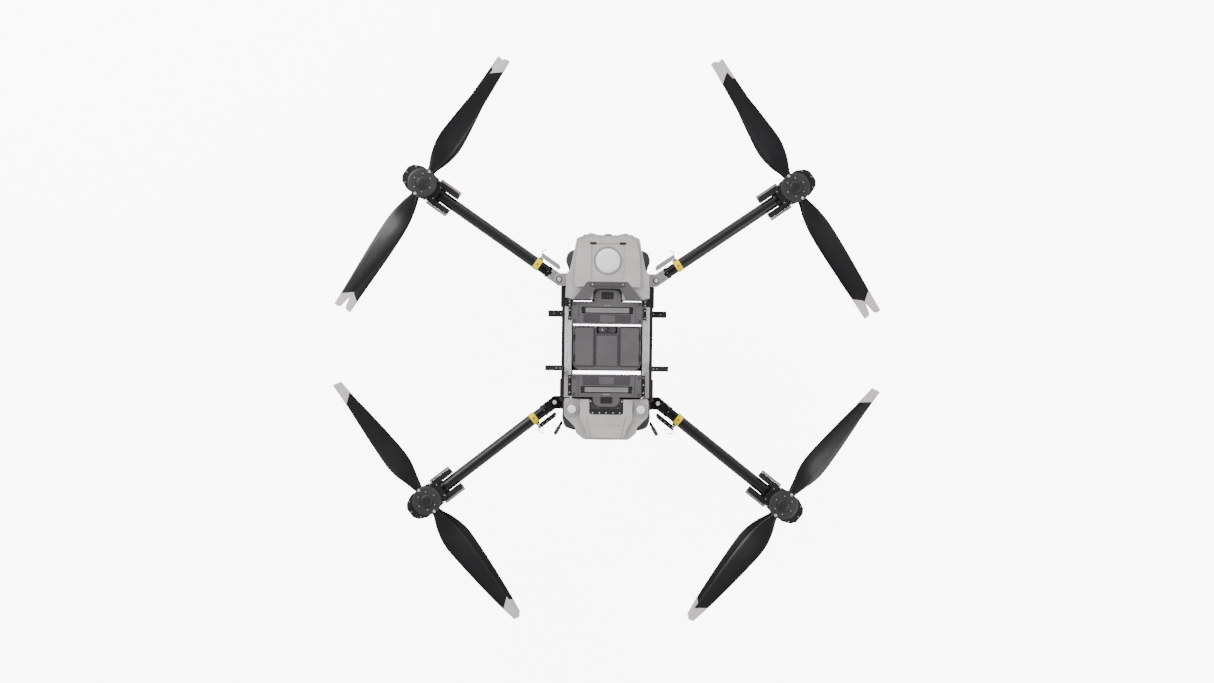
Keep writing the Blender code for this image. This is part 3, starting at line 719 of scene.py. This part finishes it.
def latch_pieces(key):
    """Over-centre lever with its double wire loop, on the arm's outer side."""
    name = f"arm_latch_{key}"
    side = -CURLS[key]
    latch = Group(name, name, arm_place(key)[0] @ shift(LATCH_PIVOT, side * LATCH_SIDE, 0))
    half = [(7, 11), (7, -6.6), (-20, -10), (-99, -10), (-99, 3), (-86, 11.6), (-40, 11.6)]
    outline = rounded([(x, side * y) for x, y in half], 4)
    # On the rear arms the lever is black: painted shade.
    lever = latch.add("lever", prism(outline, -11.5, 11.5), HINGE_LOOK_REAR_PAINTED_SHADE[key[0]], 1.4, replaces=name)
    windows = [block((x, side * 9, -6), (x + 18, side * 20, 6)) for x in (-62, -36)]
    carve(lever, *windows, rod((0, 0, -30), (0, 0, 30), 3.3, 24))
    path = [(4, 0), (10, 6), (13.5, 16), (11, 27), (2, 34)]
    for z, word in ((-8, "low"), (8, "high")):
        latch.bent(f"wire_{word}", [(x, side * y, z) for x, y in path], 2.2, "bracket")
    latch.add("roller", rod((2, side * 34, -9.8), (2, side * 34, 9.8), 2.9, 24, lip=0.6), "bracket")
    latch.screws("screws", [(x, side * 2.5, 11.5) for x in (-89, -66, -43, -18)], 2.6)


# ---- covers and trays

NOSE = [(45, 507), (80, 517), (146, 491), (160, 420), (176, 345), (195, 323), (195, 215), (162, 203.5)]
TAIL = [(196, -248.7), (196, -331), (142, -388), (142, -410), (106, -441)]
LID_Y = 386
# Cutters that open a surface reach up to here, well above it
OPEN_Z = 950


def nose_pieces():
    """Nose cover: flared shell, raised back with the parachute recess, slots and screws."""
    nose = Group("front")
    well = (0, LID_Y, 1000)
    shell = prism(rounded(both(NOSE), 5), 800.7, 883.5, taper=6)
    shell = nose.add("cover_shell", shell, "shell", 8, 4, "front_cover")
    tongue = block((-66.5, 190, 850.7), (66.5, 258.5, OPEN_Z))
    hinge_rooms = twins((176, 262, 700), (260, 334, 850.7))
    intakes = [block((side * 185.5, 228 + 8 * i, 825), (side * 210, 232 + 8 * i, 862))
               for side in (1, -1) for i in range(4)]
    carve(shell, rod((0, LID_Y, 815), well, 63.8, 64), tongue, *hinge_rooms, *intakes)
    crown = both([(40, 492), (72, 500), (134, 477), (147, 410), (152, 300), (152, 264), (70, 264)])
    back = prism(rounded(crown, 8), 878, 896.5, taper=3)
    back = nose.add("cover_crown", back, "shell_light", 6, 4)
    recess = prism(rounded(both([(60, 467), (78, 455), (78, 305), (70, 297)]), 6), 891.5, OPEN_Z)
    slots = twins((53, 460, 886), (83, 471, OPEN_Z))
    corner = prism(both([(92.5, 289.6), (170, 195)]), 850, OPEN_Z)
    carve(back, rod((0, LID_Y, 800), well, 63.8, 64), recess, *slots, corner)
    for liner, word in zip(twins((54, 461, 886), (82, 470, 892.5)), ("right", "left")):
        nose.add(f"cover_slot_{word}", liner, "black", 1)
    seam = [(63.6, 890.5), (64.8, 890.5), (66, 892), (66, 892.8), (63.6, 892.8), (63.6, 890.5)]
    nose.add("cover_well_rim", lathe(seam, 72, shift(0, LID_Y, 0)), "ring")
    nose.screws("cover_recess_screws", pairs(((71, 426), (71, 345), (71, 311)), 891.5), 3.6, "bright")
    nose.screws("cover_screws", pairs(((126, 462), (139, 380), (140, 280)), 896), 2.8)


def shroud_pieces():
    """The dark shroud behind the nose cover, with its notch and inset; the inset's darker colour is painted
    shade at the pocket's edge.
    """
    nose = Group("front")
    outline = rounded(both([(92, 289), (159, 206.8)]), 3)
    shroud = nose.add("shroud", prism(outline, 880, 896.8), "battery", 2)
    notch = prism(both([(85, 190), (85, 207), (69, 236), (56, 259)]), 870, OPEN_Z)
    dip = prism(rounded(both([(80, 283), (80, 270), (60, 264)]), 4), 893.5, OPEN_Z)
    carve(shroud, notch, dip)
    nose.screws("shroud_screws", pairs([(70, 276.5)], 893.5), 3.8, "bright")
    # The inset's darker panel colour at the pocket's edge is painted shade.
    nose.add("shroud_painted_shade_inset", prism(rounded(both([(84, 271.5), (70, 262)]), 2), 890, 897.3), "panel", 0.6)


def nose_fittings():
    """The nose's corner brackets, side lamps and front camera."""
    nose = Group("front")
    bracket = [(158, 203.2), (186, 203.2), (194, 210), (194, 176), (166, 176), (158, 186)]
    for side, word in SIDES:
        outline = rounded([(side * x, y) for x, y in bracket], 3)
        nose.add(f"corner_bracket_{word}", prism(outline, RAIL_TOP + 0.2, 842), "black", 1.5)
        spots = [(side * 174, 182, 842), (side * 174, 197, 842)]
        nose.screws(f"corner_screws_{word}", spots, 3.6, "bright")
        nose.add(f"lamp_{word}", rod((side * 112, 500, 842), (side * 115, 503.5, 842), 11, 32), "lens")
    nose.add("camera", rod((0, 498, 842), (0, 509, 842), 14, 40, lip=1), "lens")
    ring = [(14.2, 0), (17.5, 0), (17.5, 6.5), (15.5, 8.5), (14.2, 8.5), (14.2, 0)]
    nose.add("camera_ring", lathe(ring, 48, shift(0, 502, 842) @ towards((0, 1, 0))), "black")


def parachute_pieces():
    """White domed lid with its grey ring, and the canister with a packed canopy's flaps under it."""
    at_lid = LAYOUT @ shift(0, LID_Y, 0)
    lid = Group("parachute_lid", "parachute_lid", at_lid)
    dome = [(0, 899.5), (20, 899.2), (40, 898), (50, 896), (54.5, 892.5), (55.2, 890.5), (0, 890.5)]
    lid.add("dome", lathe(dome, 80), "lid", replaces=lid.body)
    ring = [(54.8, 890.5), (55.2, 891.2), (60, 891.2), (61.8, 890), (61.9, 885.3), (56, 885), (55.5, 880.2),
            (0, 880.2), (0, 890.5), (54.8, 890.5)]
    lid.add("ring", lathe(ring, 80), "ring")
    under = Group("parachute", place=at_lid)
    wall = [(57.2, 884.3), (61.5, 884.3), (62.4, 883.5), (62.4, 820.7), (0, 820.7), (0, 828.2), (57.2, 828.2),
            (57.2, 884.3)]
    under.add("canister_wall", lathe(wall, 72), "anodised", replaces="parachute_canister")
    flaps = bmesh.new()
    outline = rounded([(3, 2), (50, 2), (36, 36), (2, 50)], 10)
    for i in range(4):
        start = len(flaps.verts)
        prism(outline, 829 + 3 * i, 868 + 2.5 * (i % 2), flaps, taper=3)
        transformed(flaps, turned(i / 4), start)
    under.add("pack_flaps", flaps, "red", 3)


def tail_pieces():
    """Tail cover with its raised back, the bolted black panel, side seams and both aerial seats."""
    tail = Group("rear")
    shell = prism(rounded(both(TAIL), 9), 690.7, 865, taper=4)
    shell = tail.add("cover_shell", shell, "shell", 8, 4, "rear_cover")
    tongue_low, tongue_high = (-66.5, -292.5, 850.7), (66.5, -230, OPEN_Z)
    grilles = [block((x, -460, 725 + 12 * i), (x + 70, -430, 731 + 12 * i))
               for x in (-90, 20) for i in range(5)]
    carve(shell, block(tongue_low, tongue_high), *grilles, *twins((190, -300, 700), (210, -296, 855)))
    crown = rounded(both([(122, -252), (122, -345), (94, -392), (90, -420), (74, -431)]), 8)
    back = tail.add("cover_crown", prism(crown, 860, 880, taper=3), "shell_light", 6, 4)
    panel = prism(both([(78.5, -248), (78.5, -318), (68, -322.5)]), 877, OPEN_Z)
    channel = ((86, -335), (92, -335), (74, -424), (68, -424))
    channels = [prism(rounded([(side * x, y) for x, y in channel], 2), 877.5, OPEN_Z) for side in (1, -1)]
    dip = prism(both([(40, -372), (70, -372), (62, -379), (36, -379)]), 878.5, OPEN_Z)
    carve(back, panel, *channels, block(tongue_low, tongue_high), dip)
    outline = rounded(both([(68, -250), (77.5, -250), (77.5, -315), (67, -321.5)]), 4)
    cover = tail.add("panel", prism(outline, 876.5, 880.5), "black", 1)
    carve(cover, block((-66.8, -292.8, 860), (66.8, -230, OPEN_Z)))
    spots = [(x, -314, 880.5) for x in (-62, -31, 0, 31, 62)]
    tail.screws("panel_screws", spots + pairs([(72.2, -262)], 880.5), 3, "bright")
    tail.screws("cover_screws", pairs(((110, -262), (108, -345), (80, -412)), 879.5), 2.6)
    tail.add("lamp", block((-30, -440.5, 790), (30, -437, 806)), "lens", 1.2)
    cap = [(0, 17.6), (6, 17.3), (12, 16), (16.5, 13), (19, 9), (19.8, 5.5), (20, 2.2), (0, 2.2)]
    base = [(0, 2.8), (22.5, 2.8), (23.5, 1.6), (25, 1.6), (25.8, 2.9), (33, 2.9), (35.2, 1.6),
            (35.5, 0.2), (0, 0.2)]
    for side, word in SIDES:
        dome = Group(f"rtk_dome_{word}", place=LAYOUT @ shift(side * 159, -299, 866.7))
        dome.add("cap", lathe(cap, 56), "lid", replaces=dome.start)
        dome.add("base", lathe(base, 64), "dome")
        dome.screws("screws", circle(29, 2.8, 4), 1.8)


def hinge_bracket(key):
    """Two hinge ears with their wall, the bright pin and its washer, on the body's side."""
    pin = joint_spot(f"arm_{key}_fold")
    side = 1 if pin.x > 0 else -1
    hinge = Group(f"hinge_{key}", place=Matrix.Translation(pin))
    half = [(-42.5, -29.5), (6, -29.5), (19.5, -18), (19.5, 18), (6, 29.5), (-42.5, 29.5)]
    outline = rounded([(side * x, y) for x, y in half], 6)
    ears = bmesh.new()
    for low in (-32.8, 23.8):
        prism(outline, low, low + 9, ears)
    block((-side * 44.5, -31.5, -35.5), (-side * 31.5, 31.5, 35.5), ears)
    # On the rear arms the bracket is black: painted shade.
    hinge.add("bracket", ears, HINGE_LOOK_REAR_PAINTED_SHADE[key[0]], 1.5)
    hinge.add("pin", rod((0, 0, -37.8), (0, 0, 37.8), 9.9, 48, lip=1.2), "bright")
    washer = [(10, 34.5), (13.5, 34.5), (14, 34), (14, 32.9), (10, 32.9), (10, 34.5)]
    hinge.add("washer", lathe(washer, 48), "anodised")
    hinge.screws("screws", [(-side * 37.5, y, 32.8) for y in (-22, 0, 22)], 2.8)


def louvres(tray, spans, wall_y, outward, z_start, count):
    """Vents on a wall that faces along Y: dark mats with slanted slats in front of them."""
    mats, slats = bmesh.new(), bmesh.new()
    for low, high in spans:
        block((low, wall_y - outward * 2, z_start - 4),
              (high, wall_y + outward * 0.4, z_start + 12 * count), mats)
        for i in range(count):
            z = z_start + 12 * i
            block((low + 2, wall_y, z), (high - 2, wall_y + outward * 1.8, z + 5.5), slats)
    tray.add("vent_mats", mats, "rubber", 0.2, 1)
    tray.add("vent_slats", slats, "tray", 0.8)


def tray_pieces():
    """Nose and tail trays with seams, vents and lower screws."""
    nose, tail = Group("front_tray"), Group("rear_tray")
    outline = rounded(both([(150, 441), (186, 425), (197, 386), (180, 345), (178.5, 203.7)]), 16)
    nose.add("body", prism(outline, DECK_Z + 0.2, 799.7), "tray", 6, replaces=nose.start)
    louvres(nose, [(x, x + 60) for x in (-115, -30, 55)], 441, 1, 640, 6)
    outline = rounded(both([(200, -248.7), (205, -344), (192, -385), (150, -400)]), 14)
    tail.add("body", prism(outline, DECK_Z - 17.8, 689.7), "tray", 6, replaces=tail.start)
    louvres(tail, [(-110, -40), (40, 110)], -400, -1, 610, 5)
    nose.screws("screws", pairs(((165, 230), (165, 300), (165, 370)), DECK_Z + 0.4), 3.2, up=(0, 0, -1))
    for side, word in SIDES:
        panel = block((side * 176, 222, 648), (side * 179.2, 262, 760))
        nose.add(f"side_panel_{word}", panel, "panel", 0.8)


# ---- bays

# Places along Y: both ends of the case, the tongue and the panel, the handle's slot and the latch button
BATTERIES = {"front": ((95, 198), (146.5, 254), (99, 139), 158, 225.5),
             "rear": ((-243, -140), (-191.5, -286), (-188.5, -144), -208, -255.5)}
BATTERY_FACE = BATTERY_TOP - 0.3
ABOVE_BATTERY = BATTERY_FACE + 100


def battery_pieces(end):
    """Battery case with its ribs, panels, corner pads and status dots."""
    (low, high), _, (panel_low, panel_high), handle_y, _ = BATTERIES[end]
    battery = Group(f"{end}_battery", f"{end}_battery")
    case = block((-160.3, low + 0.2, DECK_Z + 10.7), (160.3, high - 0.2, BATTERY_FACE))
    case = battery.add("case", case, "battery", 5, 4, battery.body)
    slot = rectangle(-118.8, handle_y - 15.3, 118.8, handle_y + 15.3, 4)
    slot = prism(slot, BATTERY_FACE - 13.7, ABOVE_BATTERY)
    panel = prism(rectangle(-110, panel_low, 110, panel_high, 3), BATTERY_FACE - 2.5, ABOVE_BATTERY)
    corners = twins((129, low + 6, BATTERY_FACE - 2.2), (132.5, high - 6, ABOVE_BATTERY))
    grooves = [block((-147 + 51 * i, y, 660), (-108 + 51 * i, y + 6, 838))
               for i in range(6) for y in (low - 4, high - 2)]
    carve(case, slot, panel, *corners, *grooves, *twins((158.5, low + 20, 660), (165, high - 20, 838)))
    tongue_pieces(end, battery)
    outline = rectangle(-106, panel_low + 4, 106, panel_high - 4, 3)
    ledge = battery.add("lower_panel", prism(outline, BATTERY_FACE - 3, BATTERY_FACE - 0.8), "panel", 0.8)
    carve(ledge, block((-36, panel_low, BATTERY_FACE - 2), (36, panel_high, BATTERY_FACE + 10)))
    plate = block((-35, panel_low + 4.5, BATTERY_FACE - 2.8), (35, panel_high - 4.5, BATTERY_FACE - 0.6))
    battery.add("middle_panel", plate, "battery", 0.8)
    feet, dots = bmesh.new(), bmesh.new()
    for spot in pairs(((149.5, low + 13), (149.5, high - 13)), BATTERY_FACE):
        lathe([(0, 0.4), (8, 0.4), (9, -0.4), (9, -3), (0, -3)], 32, shift(*spot), feet)
    battery.add("corner_pads", feet, "panel")
    for i in range(4):
        spot = shift(-12 + 8 * i, handle_y + math.copysign(21.5, handle_y), BATTERY_FACE - 1.2)
        lathe([(0, 1.6), (1.4, 1.4), (1.8, 0.5), (1.8, -1), (0, -1)], 16, spot, dots)
    battery.add("status_dots", dots, "led")


def tongue_pieces(end, battery):
    """The battery's tongue, which reaches into the cover with the latch button's seat."""
    _, (inner, tip), _, handle_y, button_y = BATTERIES[end]
    outward = math.copysign(1, tip)
    outline = both([(61.8, inner), (61.8, tip - outward * 26), (54, tip - outward * 10), (40, tip)])
    tongue = prism(rounded(outline, 6), 851.7, BATTERY_FACE - 0.7)
    floor = BATTERY_FACE - 13.7
    seats = [block((-half, y - 15.3, floor), (half, y + 15.3, ABOVE_BATTERY))
             for half, y in ((26.8, button_y), (118.8, handle_y))]
    carve(battery.add("tongue", tongue, "battery", 2.5), *seats)


def handle_pieces(end):
    """The carrying handle's ribbed strip with its black ends and pivots."""
    name = f"{end}_battery_handle"
    handle = Group(name, name, LAYOUT @ shift(0, BATTERIES[end][3] - 8, BATTERY_TOP - 6.5))
    bar = handle.add("strip", block((-100, -3.3, -5.2), (100, 19.3, 5.2)), "strip", 2.2, replaces=name)
    carve(bar, *[block((-85 + 17 * i, 3.5, 4), (-77 + 17 * i, 12.5, 10)) for i in range(11)])
    ends, pins = bmesh.new(), bmesh.new()
    twins((100.3, -3.3, -5.2), (116.8, 19.3, 5.2), ends)
    handle.add("ends", ends, "black", 1.8)
    for side in (1, -1):
        rod((side * 116, 0, 0), (side * 120, 0, 0), 2.2, 20, pins)
    handle.add("pivots", pins, "steel")


def button_pieces(end):
    """The battery's latch button with its grip grooves."""
    name = f"{end}_battery_latch"
    latch = Group(name, name, LAYOUT @ shift(0, BATTERIES[end][4], BATTERY_TOP - 3))
    button = latch.add("button", block((-25.8, -14.3, -5.8), (25.8, 14.3, 3.6)), "black", 2.2, replaces=name)
    carve(button, *[block((-18 + 6.8 * i, -9, 2.8), (-14.5 + 6.8 * i, 9, 10)) for i in range(6)])


def winch_pieces():
    """Winch housing with its grooved lid, sensor notch and side tabs; the case is darker than the lid pads on
    it, painted shade in the grooves between them.
    """
    winch = Group("winch")
    outline = rounded(both([(156.8, 85.8), (156.8, -99), (135, -121.3)]), 15)
    # The case's dark panel colour, darker than the lid pads, paints the shade in the grooves between the
    # pads.
    housing = winch.add("housing_case", prism(outline, DECK_Z + 10.7, 867.5), "panel", 6, 4, "winch_housing")
    carve(housing, block((-47.3, 52.2, 850.2), (47.3, 120, OPEN_Z)), block((-70, -70, 550), (70, 40, 725)))
    pads = bmesh.new()
    for low, high, top in ((-148, -62, 875), (-49, 49, 870), (62, 148, 875)):
        prism(rectangle(low, -100, high, 40, 8), 867, top, pads, taper=3)
    cheek = [(62, 30), (62, 78), (139, 78), (148, 69), (148, 30)]
    for side in (1, -1):
        prism(rounded([(side * x, y) for x, y in cheek], 6), 867, 874.5, pads, taper=2)
    prism(rounded(both([(148, -101.5), (130, -116.5)]), 4), 867, 869.5, pads, taper=1)
    winch.add("lid_pads", pads, "battery", 2)
    module = winch.add("sensor_module", prism(rectangle(-40, 54.5, 40, 82.8, 12), 849.5, 864), "panel", 1.5)
    eye = (2, 68.5, 861.2)
    carve(module, rod(eye, (2, 68.5, 870), 11.8, 40))
    winch.add("sensor_lens", lathe([(0, 2), (3.5, 1.8), (6.8, 1), (7.8, 0), (0, 0)], 36, shift(*eye)), "lens")
    ring = [(8, 1.6), (10.8, 2.6), (11.6, 2.4), (11.6, 0), (8, 0), (8, 1.6)]
    winch.add("sensor_ring", lathe(ring, 40, shift(*eye)), "black")
    winch.add("status_light", rod((-22, 68.5, 862), (-22, 68.5, 864.5), 3, 24, lip=0.6), "led")
    tabs = bmesh.new()
    for y in (-75, 20):
        twins((148, y, 869), (160.5, y + 26, 876.5), tabs)
    winch.add("side_tabs", tabs, "black", 1.5)
    winch.screws("housing_screws", pairs(((152, 80), (54, 80), (128, -110), (45, -110)), 867.5), 2.6)
    winch.add("axle", rod((-70.5, -15, 670), (70.5, -15, 670), 7.8, 32), "steel")


def hoist_pieces():
    """The wound drum, the hook and the rope between them."""
    drum = Group("winch_drum", "winch_drum", LAYOUT @ shift(0, -15, 670) @ ALONG_X)
    flanges = bmesh.new()
    wheel = [(8.6, 58.2), (42, 58.2), (43.8, 59), (43.8, 61.2), (42, 61.8), (8.6, 61.8), (8.6, 58.2)]
    for side in (1, -1):
        lathe([(radius, side * z) for radius, z in wheel], 64, bm=flanges)
    drum.add("flanges", flanges, "anodised", replaces=drum.body)
    turns = [(8.6, -58)]
    for i in range(28):
        z = -56 + 4 * i
        turns += [(27.2, z - 1.9), (29.6, z - 1), (29.6, z + 1), (27.2, z + 1.9)]
    drum.add("rope_turns", lathe([*turns, (8.6, 58), (8.6, -58)], 48), "rope")
    hook = Group("lifting_hook", "lifting_hook", LAYOUT @ shift(0, -15, 595))
    plug = [(0, 3.8), (19, 3.8), (21.5, 1.5), (21.8, -8), (19, -11.8), (8.5, -12.5), (7.8, -28),
            (6, -30), (0, -30)]
    hook.add("plug", lathe(plug, 40), "rubber", replaces=hook.body)
    bow = [(0, -27), (16, -34), (22.5, -48), (20.5, -64), (6, -74), (-12, -71.5), (-21.5, -60)]
    hook.bent("bow", [(x, 0, z) for x, z in bow], 4.6, "steel", order=4)
    hook.bent("gate", [(-3, 0, -30), (-13, 0, -43), (-20, 0, -57.5)], 1.6, "bright")
    profile = [(0, 3), *((1.9, 3 + 1.4 * i) for i in range(31)), (0, 45)]
    run = Group("winch_rope_run", None, hook.place).add("", lathe(profile, 16), "rope")
    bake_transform(run)


# ---- rails and legs

def rail_pieces(word, side):
    """Bright rail with its pads, struts and screws, the black beam beside it and the front arm's clamp."""
    rail = Group(f"rail_{word}")
    bar = block((side * 162.7, -244.8, RAIL_Z + 0.2), (side * 195.8, 174.8, RAIL_TOP - 0.2))
    bar = rail.add("bar", bar, "rail", 1.6, replaces=rail.start)
    carve(bar, *[block((side * 176, y, RAIL_TOP - 4), (side * 182, y + 20, 900)) for y in (-70, 30, 110)])
    low, bar_top, pad_top = RAIL_TOP - 1, RAIL_TOP - 0.2, RAIL_TOP + 4.5
    rail.screws("screws", [(side * 186.5, y, bar_top) for y in (-85, -40, 10, 60, 105, 160)], 2.8)
    beam = block((side * 196.2, -234.5, RAIL_Z + 4.5), (side * 205.7, 167.5, RAIL_TOP - 6.5))
    rail.add("beam", beam, "carbon", 1.6)
    strip = block((side * 178, -244, low), (side * 195.5, -126, RAIL_TOP + 3.5))
    rail.add("rear_strip", strip, "shell", 1)
    rail.add("rear_pad", block((side * 163.5, -238, low), (side * 177, -142, pad_top)), "black", 1)
    rail.screws("pad_screws", [(side * 170.2, y, pad_top) for y in (-222, -185, -152)], 3.4, "bright")
    rail.screws("clamp_screws", [(side * 179, y, bar_top) for y in (-98, -115)], 3.4, "bright")
    rail.add("front_pad", block((side * 166.5, 113, low), (side * 180, 169, pad_top)), "black", 1)
    rail.screws("guide_screws", [(side * 173.2, y, pad_top) for y in (123, 158)], 3.4, "bright")
    for low, high, end in ((170, 269, "front"), (-262, -160, "rear")):
        rail.add(f"{end}_strut", block((side * 185, low, 758), (side * 216, high, 786)), "black", 4)
    tube_z = joint_spot("arm_fl_fold").z / MM
    clamp_pieces(f"front_arm_clamp_{word}", side, (-122.3, -97.7), tube_z, (238.3, 284.8), 39.8, 30.1)


def clamp_pieces(name, side, span, tube_z, jaw, half_height, inner):
    """A C-shaped clamp: back plate, two jaws and the rubber pads that the tube rests between."""
    clamp = Group(name)
    (low, high), (back, reach) = span, jaw
    profile = [(200.2, -half_height + 4), (back, -half_height), (reach - 4, -half_height),
               (reach, -half_height + 3), (reach, -inner - 0.3), (back - 0.5, -inner - 0.3),
               (back - 0.5, inner + 0.3), (reach, inner + 0.3), (reach, half_height - 3),
               (reach - 4, half_height), (206.2, half_height), (200.2, half_height - 4)]
    stand = Matrix(((side, 0, 0, 0), (0, 0, 1, low * MM), (0, 1, 0, tube_z * MM), (0, 0, 0, 1)))
    clamp.add("", transformed(prism(profile, 0, high - low), stand), "black", 1.5)
    pads = bmesh.new()
    for z_low, z_high in ((inner - 0.4, inner + 1.4), (-inner - 1.4, -inner + 0.4)):
        block((side * (back + 3), low + 3, tube_z + z_low),
              (side * (reach - 3), high - 3, tube_z + z_high), pads)
    clamp.add("pads", pads, "rubber", 0.6)
    clamp.screws("screws", [(side * x, (low + high) / 2, tube_z + half_height) for x in (215, back - 6)], 2.8)


def leg_pieces(word, side):
    """Lower beam, two round legs with their sockets, the skid with rubber ends, and the rear arm's clamp."""
    x = side * 184
    frame_beam = Group(f"leg_frame_{word}")
    beam = block((side * 165.7, -234.8, 605.2), (side * 211.8, 195.8, 659.8))
    beam = frame_beam.add("beam", beam, "carbon", 3, replaces=frame_beam.start)
    carve(beam, *[block((side * 208, y, 618), (side * 230, y + 55, 647)) for y in (-215, -135, -50, 30)])
    for y, end in ((165, "front"), (-165, "rear")):
        leg = Group(f"leg_{word}_{end}")
        foot_y = y * 1.25
        leg.add("tube", rod((x, y, 606), (x, foot_y, 16), 12.3), "carbon")
        leg.add("socket", rod((x, y * 1.004, 606), (x, y * 1.02, 566), 15.8, lip=1.5), "anodised")
        leg.add("tee", rod((x, foot_y - 26, 13.4), (x, foot_y + 26, 13.4), 13.4, lip=1), "anodised")
    skid = Group(f"skid_{word}")
    skid.add("tube", rod((x, -286, 13), (x, 296, 13), 11.8), "carbon")
    ends = bmesh.new()
    for low, high in ((-290, -262), (270, 300), (-30, 30)):
        rod((x, low, 13.1), (x, high, 13.1), 13, 40, ends, lip=2)
    skid.add("rubbers", ends, "rubber")
    tube_z = joint_spot("arm_rl_fold").z / MM
    clamp_pieces(f"rear_arm_clamp_{word}", side, (126.7, 157.3), tube_z, (252.8, 275.8), 37.7, 30)


def antenna_pieces(word, side):
    """Rod aerial with its ribbed foot, rubber sleeve and rounded tip."""
    name = f"antenna_{word}"
    aerial = Group(name, name, LAYOUT @ shift(side * 208.5, -368, 600))
    aerial.add("foot", rod((-5.8, 0, 0), (5.8, 0, 0), 8.8, 36, lip=1), "anodised", replaces=name)
    along = Vector((side * 31, -55, -8))
    length = along.length
    ribs = [spot for z in (11, 14, 17) for spot in ((7.6, z), (6.4, z + 1.5))]
    profile = [(0, 0), (6.5, 2), (6.5, 10), *ribs, (8.8, 20), (9.3, 23), (9.3, length - 10),
               (8.2, length - 4), (5, length - 1), (0, length - 0.5)]
    aerial.add("mast", lathe(profile, 36, towards(along)), "tray")


def chassis_pieces():
    """The bays' tub keeps its shape and gets its finish; the bolted belly plate under the winch is added."""
    for slot in bpy.data.objects["chassis"].material_slots:
        slot.material = LOOK["tray"]
    belly = Group("belly")
    plate = belly.add("plate", block((-140, -118, DECK_Z - 4.2), (140, 83, DECK_Z - 0.2)), "anodised", 1.2)
    windows = [block((side * 70, y, 500), (side * 115, y + 50, 700))
               for side in (1, -1) for y in (-108, -43, 22)]
    carve(plate, block((-46, -61, 500), (46, 31, 700)), *windows)
    spots = pairs([(130, y) for y in (-105, -45, 15, 70)], DECK_Z - 4.2)
    belly.screws("plate_screws", spots, 3.4, up=(0, 0, -1))


# ---- stage

# Lengths on the stage are in metres
SKY = 1.25
ZENITH = 0.25
FLOOR_GLOW = 0.35
FLOOR_WHITE = 8.0
FLOOR_HALF = 14
VIEW_WIDTH = 5.585
ROTOR_HEIGHT = 0.9
# Place, width in metres and power in watts
LAMPS = {"key": ((-3.4, 2.6, 3.6), 2.6, 230), "fill": ((3.8, -1.8, 3.2), 3.2, 120),
         "rim": ((0.4, 4.6, 2.6), 2.0, 80)}


def floor():
    """A floor that glows white to the camera and faintly to everything else."""
    white = Finish("floor_white", roughness=0.9)
    white.set(Base_Color=(0.93, 0.93, 0.93, 1), Specular_IOR_Level=0, Emission_Color=(1, 1, 1, 1))
    seen = white.node("ShaderNodeLightPath").outputs["Is Camera Ray"]
    white.link(white.range(seen, FLOOR_GLOW, FLOOR_WHITE), white.shader.inputs["Emission Strength"])
    mesh = bpy.data.meshes.new("floor")
    corners = [(x * FLOOR_HALF, y * FLOOR_HALF, 0) for x, y in ((-1, -1), (1, -1), (1, 1), (-1, 1))]
    mesh.from_pydata(corners, [], [(0, 1, 2, 3)])
    mesh.materials.append(white.material)
    stand("floor", mesh, shift(0, 0, -1))


def sky():
    """A studio sky that is dark overhead."""
    world = bpy.data.worlds.new("studio")
    world.use_nodes = True
    nodes, links = world.node_tree.nodes, world.node_tree.links
    split = nodes.new("ShaderNodeSeparateXYZ")
    links.new(nodes.new("ShaderNodeTexCoord").outputs["Generated"], split.inputs["Vector"])
    fade = nodes.new("ShaderNodeValToRGB")
    low, high = fade.color_ramp.elements
    low.position, low.color = 0.55, (1, 1, 1, 1)
    high.position, high.color = 0.93, (ZENITH, ZENITH, ZENITH, 1)
    links.new(split.outputs["Z"], fade.inputs["Fac"])
    links.new(fade.outputs["Color"], nodes["Background"].inputs["Color"])
    nodes["Background"].inputs["Strength"].default_value = SKY
    bpy.context.scene.world = world


def stage():
    """White floor, sky, soft side lamps and a camera straight above."""
    floor()
    sky()
    for name, (place, size, power) in LAMPS.items():
        data = bpy.data.lights.new(name, "AREA")
        data.size = size
        data.energy = power
        aim = (Vector((0, 0, 0.7)) - Vector(place)).to_track_quat("-Z", "Y").to_matrix().to_4x4()
        stand(name, data, Matrix.Translation(place) @ aim)
    lens = bpy.data.cameras.new("camera")
    lens.lens = 135
    lens.sensor_width = 36
    lens.clip_end = 100
    height = ROTOR_HEIGHT + VIEW_WIDTH * lens.lens / lens.sensor_width
    roll = Matrix.Rotation(math.radians(0.7), 4, "Z")
    bpy.context.scene.camera = stand("camera", lens, Matrix.Translation((0, -0.012, height)) @ roll)


rotors()
for arm_key in ARM_KEYS:
    pod_pieces(arm_key)
    arm_pieces(arm_key)
    latch_pieces(arm_key)
    hinge_bracket(arm_key)
nose_pieces()
shroud_pieces()
nose_fittings()
parachute_pieces()
tail_pieces()
tray_pieces()
for battery_end in BATTERIES:
    battery_pieces(battery_end)
    handle_pieces(battery_end)
    button_pieces(battery_end)
winch_pieces()
hoist_pieces()
for side_word, side_sign in (("left", -1), ("right", 1)):
    rail_pieces(side_word, side_sign)
    leg_pieces(side_word, side_sign)
    antenna_pieces(side_word, side_sign)
chassis_pieces()
stage()

bpy.context.view_layer.update()
